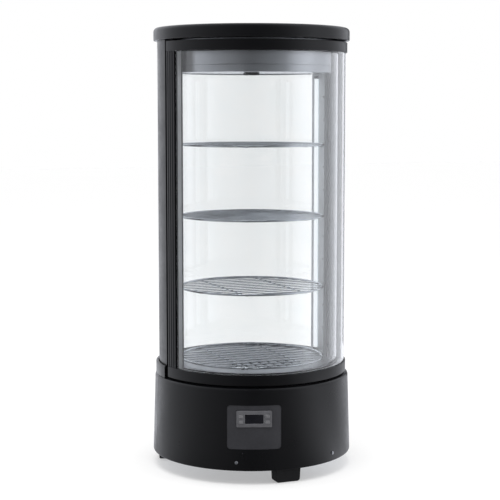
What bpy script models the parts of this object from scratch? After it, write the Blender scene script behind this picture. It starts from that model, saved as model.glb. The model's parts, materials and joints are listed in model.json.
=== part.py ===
"""Round countertop refrigerated display case with a curved double glazed door.

The case stands on the XY plane with its axis on Z and its door centred on -Y.
A bearing is an angle in degrees about the axis, from -Y towards +X.
Lengths are in metres.
"""
import math

import bmesh
import bpy
from mathutils import Matrix, Vector

# Driving heights, from the table upwards
FOOT_HEIGHT = 0.032
BASE_HEIGHT = 0.1805
DOOR_GAP = 0.004
DOOR_HEIGHT = 0.747
CAP_HEIGHT = 0.0285

# Driving radius, of the outer face of the glass, and the steps to the radii round it
GLASS_R = 0.2135
CAP_OVERHANG = 0.0085
BASE_OVERHANG = 0.009
BASE_FLARE = 0.0055
DECK_FIT = 0.0004
FLOOR_SETBACK = 0.008
VALANCE_SETBACK = 0.001
LINING_SETBACK = 0.0078

# Common clearances and walls
SEAT = 0.0003
RUNNING = 0.0005
ROUND_FIT = 0.0008
OVERRUN = 0.010
SHEET = 0.0015
MOULDING = 0.003
WELD = 0.000001

# Facets
ARC_STEP = 7.5
RIM_FACETS = 34
COARSE_STEP = 18.0
SMALL_STEP = 30.0
SHARP_ANGLE = 35.0
ARC_SHARES = (0.0, 1 / 3, 2 / 3, 1.0)
END_SHARES = (0.0, 1.0)
SIX_SIDE_SHARES = (0.0, 0.2, 0.4, 0.6, 0.8, 1.0)

# Feet
FOOT_BEARINGS = (0.0, 120.0, 240.0)
FOOT_WIDTH = 0.060
FOOT_DEPTH = 0.028
FOOT_INSET = 0.028
FOOT_CORNER = 0.006
FOOT_TAPER = 0.002

# Base pan, front shell and rear cover
PAN_INSET = 0.0085
PAN_RIM = 0.012
SHELL_DROP = 0.001
SHELL_LOWER_CORNER = 0.004
SHELL_UPPER_CORNER = 0.007
FRONT_SHELL_HALF = 94.0
SHELL_SEAM = 0.25
LOUVRE_COUNT = 13
LOUVRE_WIDTH = 0.005
LOUVRE_HEIGHT = 0.085
LOUVRE_HALF_SPREAD = 30.0
LOUVRE_RISE = 0.038

# Insulated deck with the evaporator tub
DECK_THICKNESS = 0.008
LEDGE_WIDTH = 0.008
PLINTH_HEIGHT = 0.0235
TUB_CORNER_BEARING = 36.48
TUB_INSET = 0.0293
TUB_REAR = -0.008
TUB_RISE = 0.0285
TUB_WALL = 0.010

# Cabinet floor
FLOOR_THICKNESS = 0.002
FLOOR_SKIRT = 0.024
FLOOR_SLOTS = 7
FLOOR_SLOT_WIDTH = 0.008
FLOOR_SLOT_END = 0.022
FLOOR_SLOT_PITCH = 0.022

# Collar behind the door
COLLAR_START = 84.6
COLLAR_THICKNESS = 0.006
COLLAR_HEIGHT = 0.0275
COLLAR_CORNER = 0.003

# Glazing
PANE = 0.004
PANE_GAP = 0.012
RAIL_LIP = 0.0035
BOTTOM_RAIL = 0.024
TOP_RAIL = 0.023
CHANNEL_FLOOR = 0.011
LIP_FIT = 0.0003
SPACER_WIDTH_ANGLE = 2.4
SPACER_HEIGHT = 0.011
SPACER_FIT = 0.0005

# Door
DOOR_HALF = 82.0
STILE_ANGLE = 8.5
STILE_SLOT_ANGLE = 1.7
STILE_LIP = 0.0025
PANE_END_FIT = 0.3
FLUTES = 3
FLUTE_DEPTH = 0.0012
HINGE_BEARING = 78.0
HINGE_INSET = 0.015
PIN_R = 0.004
HINGE_PLATE = 0.003
HINGE_PLATE_WIDTH = 0.034
HINGE_PLATE_DEPTH = 0.022
HINGE_PLATE_SHIFT = -2.0
HINGE_PLATE_CORNER = 0.005
DOOR_SEAL_FIT = 0.0005
DOOR_SEAL_HEIGHT = 0.008
DOOR_SEAL_START = -80.0
DOOR_SEAL_END = 76.0

# Side posts
POST_FACE = 0.0175
POST_END = 105.5
LINING_THICKNESS = 0.0024
FLANGE_FIT = 0.0005
LINING_SLOT_WIDTH = 0.008
LINING_SLOT_HEIGHT = 0.004
LINING_SLOT_BEARING = 89.6
SLOTS_PER_TIER = 3
POST_SEAL_INSET = 0.004
POST_SEAL_WIDTH = 0.013
HANDLE_SEAL_FIT = 0.0009
HINGE_SEAL = 0.0015
LAMP_BEARING = 99.2
LAMP_WIDTH = 0.0120
LAMP_DEPTH = 0.005
LAMP_END = 0.006
LAMP_CORNER = 0.001

# Head
VALANCE_HEIGHT = 0.0722
VALANCE_THICKNESS = 0.002
VALANCE_END_FIT = 0.002
VALANCE_FLANGE = 0.013
VALANCE_GROOVE_RISE = 0.016
VALANCE_GROOVE = 0.0014
VALANCE_GROOVE_DEPTH = 0.0008
POD_SIZE = 0.030
POD_HEIGHT = 0.0055
POD_CORNER = 0.002
CAP_CORNER = 0.009
CAP_LOWER_CORNER = 0.0015

# Shelves
SHELF_COUNT = 4
FIRST_SHELF_RISE = 0.009
RIM_WIRE_R = 0.0025
WIRE_R = 0.0014
WIRE_COUNT = 11
WIRE_MARGIN = 0.026
CROSS_WIRE_X = 0.070
WIRE_BITE = 0.0005
LEDGE_START = 86.2
LEDGE_END = 93.0
LEDGE_REACH = 0.0130
LEDGE_EDGE = 0.002
LEDGE_DROP = 0.0055

# Control panel
PANEL_BEARING = -20.7
PANEL_WIDTH = 0.119
PANEL_HEIGHT = 0.097
PANEL_DROP = 0.0365
PANEL_CORNER = 0.008
PANEL_RECESS = 0.0008
PANEL_THICKNESS = 0.0025
BEZEL_WIDTH = 0.077
BEZEL_HEIGHT = 0.036
BEZEL_DEPTH = 0.006
BEZEL_PROUD = 0.002
BEZEL_CORNER = 0.003
BEZEL_CENTRE_RISE = 0.0675
CONTROLLER_WIDTH = 0.071
CONTROLLER_HEIGHT = 0.029
CONTROLLER_DEPTH = 0.045
WINDOW_WIDTH = 0.040
WINDOW_HEIGHT = 0.020
WINDOW_POCKET = 0.0025
WINDOW_THICKNESS = 0.0018
BUTTON_WIDTH = 0.009
BUTTON_HEIGHT = 0.007
BUTTON_OFFSET_X = 0.0290
BUTTON_OFFSET_Z = 0.0062
BUTTON_LENGTH = 0.006
BUTTON_PROUD = 0.001
BUTTON_TRAVEL = 0.0008
BUTTON_CORNER = 0.0015
BUTTON_FIT = 0.0004

# Cooling machinery
FIN_COUNT = 10
FIN_SHARE = 0.32
SPINE_SHARE = 0.30
EVAPORATOR_HEIGHT = 0.040
EVAPORATOR_MARGIN = 0.006
EVAPORATOR_FAN_PLATE_RISE = 0.066
CONDENSER_Y = 0.062
CONDENSER_DEPTH = 0.034
CONDENSER_GAP = 0.045
CONDENSER_INSET = 0.0386
CONDENSER_HEIGHT = 0.108
FAN_PLATE = 0.003
EVAPORATOR_FAN_FRAME = 0.0117
CONDENSER_FAN_FRAME = 0.009
FAN_TIP_GAP = 0.003
FAN_HUB_R = 0.015
FAN_HUB_HEIGHT = 0.014
FAN_BLADES = 5
FAN_BLADE = 0.0016
FAN_PITCH = 32.0
FAN_BLADE_WIDTH = 0.020
MOTOR_R = 0.019
MOTOR_LENGTH = 0.022
MOTOR_ARM = 0.009
COMPRESSOR_BEARING = 142.5
COMPRESSOR_INSET = 0.0346
COMPRESSOR_TUB_GAP = 0.037
COMPRESSOR_HEIGHT = 0.128
COMPRESSOR_BAND = 0.0025
COMPRESSOR_FOOT = 0.009
DOME_SHARE = 0.26
DOME_FOOT_SHARE = 0.8
HUB_SHARE = 0.8
ROOT_SHARE = 0.7
TWIST_SHARE = 1.35
PIPE_R = 0.004
PIPE_STEPS = 3
PIPE_RISE = 0.008
PIPE_OFFSET = 0.022
PIPE_HEIGHT_SHARE = 0.62
GLAND_BEARING = 150.0
GLAND_RISE = 0.020
GLAND_R = 0.007
GLAND_FLANGE = 0.004
GLAND_BORE_R = 0.004
GLAND_LENGTH = 0.014

# Heights and radii that follow
BASE_TOP = FOOT_HEIGHT + BASE_HEIGHT
DOOR_BOTTOM = BASE_TOP + DOOR_GAP
DOOR_TOP = DOOR_BOTTOM + DOOR_HEIGHT
CAP_BOTTOM = DOOR_TOP + DOOR_GAP
CASE_TOP = CAP_BOTTOM + CAP_HEIGHT
DECK_TOP = BASE_TOP - SEAT
PAN_TOP = FOOT_HEIGHT + SHEET
LOUVRE_BOTTOM = FOOT_HEIGHT + LOUVRE_RISE
GLAND_CENTRE = FOOT_HEIGHT + GLAND_RISE
PANEL_BOTTOM = BASE_TOP - PANEL_DROP - PANEL_HEIGHT
PLINTH_TOP = DECK_TOP + PLINTH_HEIGHT
FLOOR_BOTTOM = PLINTH_TOP + SEAT
FLOOR_TOP = FLOOR_BOTTOM + FLOOR_THICKNESS
POST_TOP = CAP_BOTTOM - SEAT
POST_BOTTOM = DECK_TOP + SEAT
INNER_PANE_R = GLASS_R - PANE - PANE_GAP
CAVITY_R = INNER_PANE_R - PANE
RAIL_OUTER_R = GLASS_R + RAIL_LIP
RAIL_INNER_R = CAVITY_R - RAIL_LIP
CAP_R = GLASS_R + CAP_OVERHANG
BASE_TOP_R = GLASS_R + BASE_OVERHANG
BASE_BOTTOM_R = BASE_TOP_R + BASE_FLARE
PAN_R = BASE_BOTTOM_R - PAN_INSET
FOOT_R = BASE_BOTTOM_R - FOOT_INSET
DECK_R = GLASS_R + DECK_FIT
FLOOR_R = RAIL_INNER_R - FLOOR_SETBACK
PLINTH_R = FLOOR_R - SHEET - SEAT
VALANCE_R = FLOOR_R - VALANCE_SETBACK
LINING_R = FLOOR_R - LINING_SETBACK
SHELF_R = LINING_R - LINING_THICKNESS - RUNNING - LAMP_DEPTH - SEAT
HINGE_R = RAIL_OUTER_R - HINGE_INSET
POST_SEAL_R = RAIL_INNER_R - POST_SEAL_INSET
GLASS_BOTTOM = DOOR_BOTTOM + CHANNEL_FLOOR + SEAT
GLASS_TOP = DOOR_TOP - CHANNEL_FLOOR - SEAT
VALANCE_BOTTOM = POST_TOP - VALANCE_HEIGHT
CEILING_BOTTOM = VALANCE_BOTTOM + SHEET + SEAT
SHELF_SPACING = (CEILING_BOTTOM - FLOOR_TOP - FIRST_SHELF_RISE) / SHELF_COUNT
STILE_START = DOOR_HALF - STILE_ANGLE
HANDLE_SEAL = (
    RAIL_INNER_R * math.cos(math.radians(DOOR_HALF)) - POST_FACE - SEAT - HANDLE_SEAL_FIT)
VALANCE_HALF = 90.0 - math.degrees(math.asin((POST_FACE + VALANCE_END_FIT) / VALANCE_R))
HINGE_HOLE_R = PIN_R + RUNNING

# Places of the tub and the machinery, which follow from the room inside the base
TUB_CORNER_R = DECK_R - LEDGE_WIDTH - TUB_INSET
TUB_HALF_WIDTH = TUB_CORNER_R * math.sin(math.radians(TUB_CORNER_BEARING))
TUB_FRONT = -TUB_CORNER_R * math.cos(math.radians(TUB_CORNER_BEARING))
TUB_BOTTOM = PAN_TOP + TUB_RISE
ROOM_R = PAN_R - SHEET
COMPRESSOR_TURN = math.radians(COMPRESSOR_BEARING)
COMPRESSOR_REACH = ROOM_R - COMPRESSOR_INSET
COMPRESSOR_FOOT_R = (
    (-COMPRESSOR_REACH * math.cos(COMPRESSOR_TURN) - TUB_REAR - COMPRESSOR_TUB_GAP)
    / (1 - math.cos(COMPRESSOR_TURN)))
COMPRESSOR_R = COMPRESSOR_FOOT_R - COMPRESSOR_FOOT
COMPRESSOR_X = (COMPRESSOR_REACH - COMPRESSOR_FOOT_R) * math.sin(COMPRESSOR_TURN)
COMPRESSOR_Y = -(COMPRESSOR_REACH - COMPRESSOR_FOOT_R) * math.cos(COMPRESSOR_TURN)
CONDENSER_PLATE_Y = CONDENSER_Y + CONDENSER_DEPTH / 2 + SEAT + MOTOR_LENGTH
CONDENSER_RIGHT = COMPRESSOR_X - COMPRESSOR_FOOT_R - CONDENSER_GAP
CONDENSER_LEFT = -math.sqrt(
    (ROOM_R - CONDENSER_INSET) ** 2 - (CONDENSER_PLATE_Y + FAN_PLATE) ** 2)
CONDENSER_WIDTH = CONDENSER_RIGHT - CONDENSER_LEFT
CONDENSER_X = (CONDENSER_LEFT + CONDENSER_RIGHT) / 2


def rad(degrees):
    return math.radians(degrees)


def polar(radius, bearing, height=0.0):
    """Give the point at a radius, a bearing and a height."""
    return (radius * math.sin(rad(bearing)), -radius * math.cos(rad(bearing)), height)


def arc_turns(start, end, step):
    """Split a turn at the whole steps from the front, so that all round pieces share facets."""
    first = math.ceil(start / step - WELD) * step
    last = math.floor(end / step + WELD) * step
    if last <= first:
        return [(end - start, 1)]
    turns = [(first - start, 1), (last - first, round((last - first) / step)), (end - last, 1)]
    return [(turn, count) for turn, count in turns if turn > WELD]


def arc(centre, radius, start, end, shares=ARC_SHARES):
    """Give the points of a flat arc, its angles counted from the first axis."""
    angles = [rad(start + (end - start) * share) for share in shares]
    return [(centre[0] + radius * math.cos(a), centre[1] + radius * math.sin(a)) for a in angles]


def plan_arc(radius, start, end, step=ARC_STEP):
    """Give the points of an arc about the case's axis between two bearings."""
    count = max(1, math.ceil(abs(end - start) / step))
    return [polar(radius, start + (end - start) * i / count)[:2] for i in range(count + 1)]


def rounded_rectangle(width, height, corner, centre=(0.0, 0.0)):
    """Give the outline of a rectangle with round corners."""
    x = width / 2 - corner
    y = height / 2 - corner
    points = []
    for sx, sy, start in ((1, 1, 0), (-1, 1, 90), (-1, -1, 180), (1, -1, 270)):
        corner_centre = (centre[0] + sx * x, centre[1] + sy * y)
        points += arc(corner_centre, corner, start, start + 90)
    return points


def make_material(name, color, roughness, metallic=0.0, transmission=0.0):
    mat = bpy.data.materials.new(name)
    mat.use_nodes = True
    shader = mat.node_tree.nodes["Principled BSDF"]
    shader.inputs["Base Color"].default_value = (*color, 1.0)
    shader.inputs["Roughness"].default_value = roughness
    shader.inputs["Metallic"].default_value = metallic
    shader.inputs["Transmission Weight"].default_value = transmission
    mat.diffuse_color = (*color, 1.0 - transmission / 2)
    return mat


def mesh_from(name, bm, mat):
    """Close a bmesh into a mesh with its faces outwards and its round faces smooth."""
    bmesh.ops.remove_doubles(bm, verts=bm.verts, dist=WELD)
    bmesh.ops.recalc_face_normals(bm, faces=bm.faces)
    mesh = bpy.data.meshes.new(name)
    bm.to_mesh(mesh)
    bm.free()
    mesh.materials.append(mat)
    mesh.shade_smooth()
    mesh.set_sharp_from_angle(angle=rad(SHARP_ANGLE))
    return mesh


def add_object(name, mesh, location=(0.0, 0.0, 0.0), rotation=(0.0, 0.0, 0.0)):
    obj = bpy.data.objects.new(name, mesh)
    obj.location = location
    obj.rotation_euler = rotation
    bpy.context.scene.collection.objects.link(obj)
    return obj


def revolve_into(bm, profile, start=0.0, end=360.0, step=ARC_STEP):
    """Turn a closed outline of radius and height points about Z between two bearings."""
    verts = [bm.verts.new(polar(r, start, z)) for r, z in profile]
    if end - start < 360.0:
        geometry = [bm.faces.new(verts)]
    else:
        geometry = []
        for first, second in zip(verts, verts[1:] + verts[:1]):
            if max(math.hypot(*first.co.xy), math.hypot(*second.co.xy)) > WELD:
                geometry.append(bm.edges.new((first, second)))
    for turn, steps in arc_turns(start, end, step):
        grown = bmesh.ops.spin(
            bm, geom=geometry, cent=(0, 0, 0), axis=(0, 0, 1), angle=rad(turn), steps=steps)
        geometry = grown["geom_last"]


def revolve(name, profile, mat, start=0.0, end=360.0, step=ARC_STEP, **place):
    bm = bmesh.new()
    revolve_into(bm, profile, start, end, step)
    return add_object(name, mesh_from(name, bm, mat), **place)


def prism_into(bm, outline, low, high, upright=False):
    """Extrude an outline along Z, or along Y when it is drawn upright in X and Z."""
    if upright:
        verts = [bm.verts.new((x, low, z)) for x, z in outline]
        shift = Vector((0.0, high - low, 0.0))
    else:
        verts = [bm.verts.new((x, y, low)) for x, y in outline]
        shift = Vector((0.0, 0.0, high - low))
    base = bm.faces.new(verts)
    grown = bmesh.ops.extrude_face_region(bm, geom=[base], use_keep_orig=True)
    moved = [item for item in grown["geom"] if isinstance(item, bmesh.types.BMVert)]
    bmesh.ops.translate(bm, verts=moved, vec=shift)


def prism(name, outline, low, high, mat, upright=False, **place):
    bm = bmesh.new()
    prism_into(bm, outline, low, high, upright)
    return add_object(name, mesh_from(name, bm, mat), **place)


def box_outline(x0, x1, y0, y1):
    return [(x0, y0), (x1, y0), (x1, y1), (x0, y1)]


def combine(target, other, operation):
    """Cut, join or intersect one solid with another, which is kept only as a guide."""
    modifier = target.modifiers.new(operation.title(), "BOOLEAN")
    modifier.operation = operation
    modifier.solver = "EXACT"
    modifier.object = other
    other.hide_render = True
    other.display_type = "WIRE"
    return target


def bevel(obj, width, segments=1):
    modifier = obj.modifiers.new("Bevel", "BEVEL")
    modifier.width = width
    modifier.segments = segments
    modifier.limit_method = "ANGLE"
    return obj


def finished_mesh(obj):
    """Give the mesh of an object with its modifiers applied, and remove the object."""
    graph = bpy.context.evaluated_depsgraph_get()
    graph.update()
    mesh = bpy.data.meshes.new_from_object(obj.evaluated_get(graph))
    bpy.data.objects.remove(obj, do_unlink=True)
    return mesh


def radial(bearing):
    """Give the rotation that turns a piece drawn on the front to its bearing."""
    return (0.0, 0.0, rad(bearing))


def outward(bearing):
    """Give the rotation that lays a piece's own Z axis outwards along a bearing."""
    return (rad(90.0), 0.0, rad(bearing))


class Finishes:
    """Hold the finishes of the case, one for each sort of surface."""

    def __init__(self):
        self.black = make_material("satin_black", (0.012, 0.012, 0.013), 0.38)
        self.moulding = make_material("black_moulding", (0.010, 0.010, 0.011), 0.45)
        self.charcoal = make_material("charcoal_panel", (0.045, 0.045, 0.052), 0.50)
        self.bezel = make_material("grey_bezel", (0.13, 0.13, 0.14), 0.35)
        self.window = make_material("dark_window", (0.008, 0.008, 0.012), 0.10)
        self.button = make_material("button_grey", (0.22, 0.22, 0.23), 0.45)
        self.steel = make_material("brushed_steel", (0.42, 0.42, 0.43), 0.28, 1.0)
        self.aluminium = make_material("aluminium", (0.62, 0.62, 0.61), 0.32, 1.0)
        self.chrome = make_material("chromed_wire", (0.60, 0.61, 0.62), 0.16, 1.0)
        self.glass = make_material("clear_glass", (0.90, 0.95, 0.94), 0.02, 0.0, 1.0)
        self.white = make_material("white_panel", (0.80, 0.82, 0.84), 0.40)
        self.lamp = make_material("lamp_diffuser", (0.92, 0.94, 0.96), 0.50)
        self.rubber = make_material("black_rubber", (0.010, 0.010, 0.010), 0.75)
        self.seal = make_material("seal_grey", (0.10, 0.10, 0.11), 0.65)
        self.zinc = make_material("zinc_sheet", (0.48, 0.49, 0.50), 0.42, 1.0)
        self.copper = make_material("copper_pipe", (0.72, 0.35, 0.20), 0.32, 1.0)
        self.plastic = make_material("dark_plastic", (0.030, 0.030, 0.034), 0.50)


def wall_radius(height):
    """Give the outer radius of the base's tapering wall at a height."""
    low = FOOT_HEIGHT - SHELL_DROP + SHELL_LOWER_CORNER
    high = BASE_TOP - SHELL_UPPER_CORNER
    share = (height - low) / (high - low)
    return BASE_BOTTOM_R + (BASE_TOP_R - BASE_BOTTOM_R) * share


def make_feet(finish):
    """Make three block feet with round lower corners."""
    top = FOOT_HEIGHT - SEAT
    upper = FOOT_WIDTH / 2
    lower = upper - FOOT_TAPER - FOOT_CORNER
    outline = [(upper, top), (-upper, top)]
    outline += arc((-lower, FOOT_CORNER), FOOT_CORNER, 180, 270)
    outline += arc((lower, FOOT_CORNER), FOOT_CORNER, 270, 360)
    feet = []
    for number, bearing in enumerate(FOOT_BEARINGS, 1):
        feet.append(prism(
            f"foot_{number}", outline, -FOOT_R - FOOT_DEPTH / 2, -FOOT_R + FOOT_DEPTH / 2,
            finish.rubber, upright=True, rotation=radial(bearing)))
    return feet


def make_base_pan(finish):
    bottom = FOOT_HEIGHT
    rim_top = bottom + PAN_RIM
    profile = [
        (0.0, bottom), (PAN_R, bottom), (PAN_R, rim_top), (PAN_R - SHEET, rim_top),
        (PAN_R - SHEET, PAN_TOP), (0.0, PAN_TOP)]
    return [revolve("base_pan", profile, finish.zinc)]


def shell_profile():
    """Draw the wall of the base with its round edges and the ledge that carries the deck."""
    bottom = FOOT_HEIGHT - SHELL_DROP
    lower = (BASE_BOTTOM_R - SHELL_LOWER_CORNER, bottom + SHELL_LOWER_CORNER)
    upper = (BASE_TOP_R - SHELL_UPPER_CORNER, BASE_TOP - SHELL_UPPER_CORNER)
    ledge_top = DECK_TOP - DECK_THICKNESS - SEAT
    ledge_r = DECK_R - LEDGE_WIDTH
    profile = [(PAN_R + ROUND_FIT, bottom)]
    profile += arc(lower, SHELL_LOWER_CORNER, 270, 360)
    profile += arc(upper, SHELL_UPPER_CORNER, 0, 90)
    profile += [
        (DECK_R + ROUND_FIT, BASE_TOP), (DECK_R + ROUND_FIT, ledge_top), (ledge_r, ledge_top),
        (ledge_r, ledge_top - MOULDING), (BASE_TOP_R - MOULDING, ledge_top - MOULDING),
        (BASE_BOTTOM_R - MOULDING, bottom + MOULDING), (PAN_R + ROUND_FIT, bottom + MOULDING)]
    return profile


def make_front_shell(finish):
    shell = revolve(
        "base_front_shell", shell_profile(), finish.black, -FRONT_SHELL_HALF, FRONT_SHELL_HALF)
    opening = prism(
        "panel_opening_guide", panel_outline(), -BASE_BOTTOM_R - OVERRUN, -FOOT_R,
        finish.black, upright=True, rotation=radial(PANEL_BEARING))
    return [combine(shell, opening, "DIFFERENCE")]


def make_rear_cover(finish):
    """Make the rear cover with its row of upright vents and the hole of the cable gland."""
    cover = revolve(
        "base_rear_cover", shell_profile(), finish.black,
        FRONT_SHELL_HALF + SHELL_SEAM, 360.0 - FRONT_SHELL_HALF - SHELL_SEAM)
    bm = bmesh.new()
    for index in range(LOUVRE_COUNT):
        share = index / (LOUVRE_COUNT - 1) * 2 - 1
        turn = Matrix.Rotation(rad(180.0 + share * LOUVRE_HALF_SPREAD), 3, "Z")
        slot = bmesh.new()
        outline = box_outline(
            -LOUVRE_WIDTH / 2, LOUVRE_WIDTH / 2, LOUVRE_BOTTOM, LOUVRE_BOTTOM + LOUVRE_HEIGHT)
        prism_into(slot, outline, -BASE_BOTTOM_R - OVERRUN, -FOOT_R, upright=True)
        bmesh.ops.rotate(slot, verts=slot.verts, cent=(0, 0, 0), matrix=turn)
        piece = mesh_from("slot", slot, finish.black)
        bm.from_mesh(piece)
        bpy.data.meshes.remove(piece)
    slots = add_object("louvre_guide", mesh_from("louvre_guide", bm, finish.black))
    hole = [
        (0.0, -OVERRUN), (GLAND_R + SEAT, -OVERRUN), (GLAND_R + SEAT, OVERRUN), (0.0, OVERRUN)]
    gland_r = wall_radius(GLAND_CENTRE)
    gland_hole = revolve(
        "gland_hole_guide", hole, finish.black, step=SMALL_STEP,
        location=polar(gland_r, GLAND_BEARING, GLAND_CENTRE), rotation=outward(GLAND_BEARING))
    combine(cover, slots, "DIFFERENCE")
    return [combine(cover, gland_hole, "DIFFERENCE")]


def make_gland(finish):
    """Make the bush that the supply cable enters through."""
    wall = wall_radius(GLAND_CENTRE)
    flange_r = GLAND_R + GLAND_FLANGE
    profile = [
        (GLAND_BORE_R, -GLAND_LENGTH), (GLAND_R, -GLAND_LENGTH), (GLAND_R, RUNNING),
        (flange_r, RUNNING), (flange_r, MOULDING), (GLAND_R, MOULDING + SHEET),
        (GLAND_BORE_R, MOULDING + SHEET)]
    return [revolve(
        "cable_gland", profile, finish.rubber, step=SMALL_STEP,
        location=polar(wall, GLAND_BEARING, GLAND_CENTRE), rotation=outward(GLAND_BEARING))]


def post_outline(clearance=0.0):
    """Draw the right post in plan, wider all round by a clearance where it cuts a recess."""
    inner = LINING_R - LINING_THICKNESS - clearance
    return post_section(inner, GLASS_R + clearance, clearance)


def post_section(inner, outer, clearance=0.0, end=POST_END):
    """Draw a piece of a ring behind the post's front plane, up to a bearing."""
    face = POST_FACE + clearance
    end += math.degrees(clearance / outer)
    outer_start = 90.0 - math.degrees(math.asin(face / outer))
    inner_start = 90.0 - math.degrees(math.asin(face / inner))
    return plan_arc(outer, outer_start, end) + plan_arc(inner, end, inner_start)


def mirrored(outline):
    return [(-x, y) for x, y in outline]


def flange_reach():
    """Give how far out the lining's front flange goes, to beside the post's seal."""
    return POST_SEAL_R - FLANGE_FIT


def notched_post_section():
    """Draw the right post in plan, with its front set back where the flange covers it."""
    back = POST_FACE - LINING_THICKNESS - SEAT
    side = flange_reach() + SEAT
    inner = LINING_R + SEAT
    outer_start = 90.0 - math.degrees(math.asin(POST_FACE / GLASS_R))
    inner_start = 90.0 - math.degrees(math.asin(back / inner))
    outline = plan_arc(GLASS_R, outer_start, POST_END)
    outline += plan_arc(inner, POST_END, inner_start, ARC_STEP / 2)
    return outline + [(side, -back), (side, -POST_FACE)]


def make_post_guides(finish):
    """Make the two solids that cut the room for the posts out of the deck and the floor."""
    guides = []
    room = post_outline(RUNNING)
    for side, outline in (("right", room), ("left", mirrored(room))):
        guides.append(prism(
            f"post_guide_{side}", outline, DECK_TOP, CASE_TOP, finish.black))
    return guides


def make_deck(finish, post_guides):
    """Make the foamed deck, its plinth and the tub that hangs under it."""
    low = DECK_TOP - DECK_THICKNESS
    profile = [
        (0.0, low), (DECK_R, low), (DECK_R, DECK_TOP), (PLINTH_R, DECK_TOP),
        (PLINTH_R, PLINTH_TOP), (0.0, PLINTH_TOP)]
    deck = revolve("insulated_deck", profile, finish.plastic)
    outer = box_outline(-TUB_HALF_WIDTH, TUB_HALF_WIDTH, TUB_FRONT, TUB_REAR)
    tub = prism("tub_guide", outer, TUB_BOTTOM, low + MOULDING, finish.plastic)
    inner = box_outline(
        -TUB_HALF_WIDTH + TUB_WALL, TUB_HALF_WIDTH - TUB_WALL,
        TUB_FRONT + TUB_WALL, TUB_REAR - TUB_WALL)
    cavity = prism(
        "tub_cavity_guide", inner, TUB_BOTTOM + TUB_WALL, PLINTH_TOP + OVERRUN, finish.plastic)
    combine(deck, tub, "UNION")
    combine(deck, cavity, "DIFFERENCE")
    for guide in post_guides:
        combine(deck, guide, "DIFFERENCE")
    return [deck]


def make_floor(finish, post_guides):
    """Make the steel floor with its skirt round the plinth and the slots above the fan."""
    skirt_r = FLOOR_R - SHEET
    profile = [
        (0.0, FLOOR_BOTTOM), (skirt_r, FLOOR_BOTTOM), (skirt_r, FLOOR_TOP - FLOOR_SKIRT),
        (FLOOR_R, FLOOR_TOP - FLOOR_SKIRT), (FLOOR_R, FLOOR_TOP), (0.0, FLOOR_TOP)]
    floor = revolve("cabinet_floor", profile, finish.steel)
    front = TUB_FRONT + FLOOR_SLOT_END
    rear = TUB_REAR - FLOOR_SLOT_END
    bm = bmesh.new()
    for index in range(FLOOR_SLOTS):
        x = (index - (FLOOR_SLOTS - 1) / 2) * FLOOR_SLOT_PITCH
        outline = box_outline(
            x - FLOOR_SLOT_WIDTH / 2, x + FLOOR_SLOT_WIDTH / 2, front, rear)
        prism_into(bm, outline, FLOOR_BOTTOM - OVERRUN, FLOOR_TOP + OVERRUN)
    slots = add_object("floor_slot_guide", mesh_from("floor_slot_guide", bm, finish.steel))
    combine(floor, slots, "DIFFERENCE")
    for guide in post_guides:
        combine(floor, guide, "DIFFERENCE")
    return [floor]


def make_collar(finish):
    """Make the raised rear edge of the base round the posts and the rear glass."""
    inner = DECK_R + ROUND_FIT
    outer = inner + COLLAR_THICKNESS
    top = BASE_TOP + COLLAR_HEIGHT
    profile = [(inner, BASE_TOP + SEAT), (outer, BASE_TOP + SEAT)]
    profile += arc((outer - COLLAR_CORNER, top - COLLAR_CORNER), COLLAR_CORNER, 0, 90)
    profile += [(inner, top)]
    return [revolve("rear_collar", profile, finish.black, COLLAR_START, 360.0 - COLLAR_START)]


def panel_outline(clearance=0.0):
    centre = (0.0, PANEL_BOTTOM + PANEL_HEIGHT / 2)
    return rounded_rectangle(
        PANEL_WIDTH - 2 * clearance, PANEL_HEIGHT - 2 * clearance, PANEL_CORNER, centre)


def bezel_centre():
    return (0.0, PANEL_BOTTOM + BEZEL_CENTRE_RISE)


def bezel_front():
    return wall_radius(bezel_centre()[1]) - PANEL_RECESS + BEZEL_PROUD


def make_control_panel(finish):
    """Make the curved control panel, let into the front shell."""
    panel = prism(
        "control_panel", panel_outline(SEAT), -BASE_BOTTOM_R - OVERRUN, -FOOT_R,
        finish.charcoal, upright=True, rotation=radial(PANEL_BEARING))
    low = PANEL_BOTTOM - OVERRUN
    high = PANEL_BOTTOM + PANEL_HEIGHT + OVERRUN
    front_low = wall_radius(low) - PANEL_RECESS
    front_high = wall_radius(high) - PANEL_RECESS
    band_profile = [
        (front_low - PANEL_THICKNESS, low), (front_low, low),
        (front_high, high), (front_high - PANEL_THICKNESS, high)]
    reach = math.degrees(PANEL_WIDTH / BASE_TOP_R)
    band = revolve(
        "panel_band_guide", band_profile, finish.charcoal, PANEL_BEARING - reach,
        PANEL_BEARING + reach, step=ARC_STEP / 2)
    combine(panel, band, "INTERSECT")
    opening = prism(
        "controller_opening_guide",
        rounded_rectangle(
            BEZEL_WIDTH + 2 * SEAT, BEZEL_HEIGHT + 2 * SEAT, BEZEL_CORNER, bezel_centre()),
        -BASE_BOTTOM_R - OVERRUN, -FOOT_R, finish.charcoal, upright=True,
        rotation=radial(PANEL_BEARING))
    return [combine(panel, opening, "DIFFERENCE")]


def button_places():
    """Give the four button centres as sideways and upward places on the bezel."""
    x0, z0 = bezel_centre()
    return [
        (x0 + sx * BUTTON_OFFSET_X, z0 + sz * BUTTON_OFFSET_Z) for sx in (-1, 1) for sz in (1, -1)]


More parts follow.
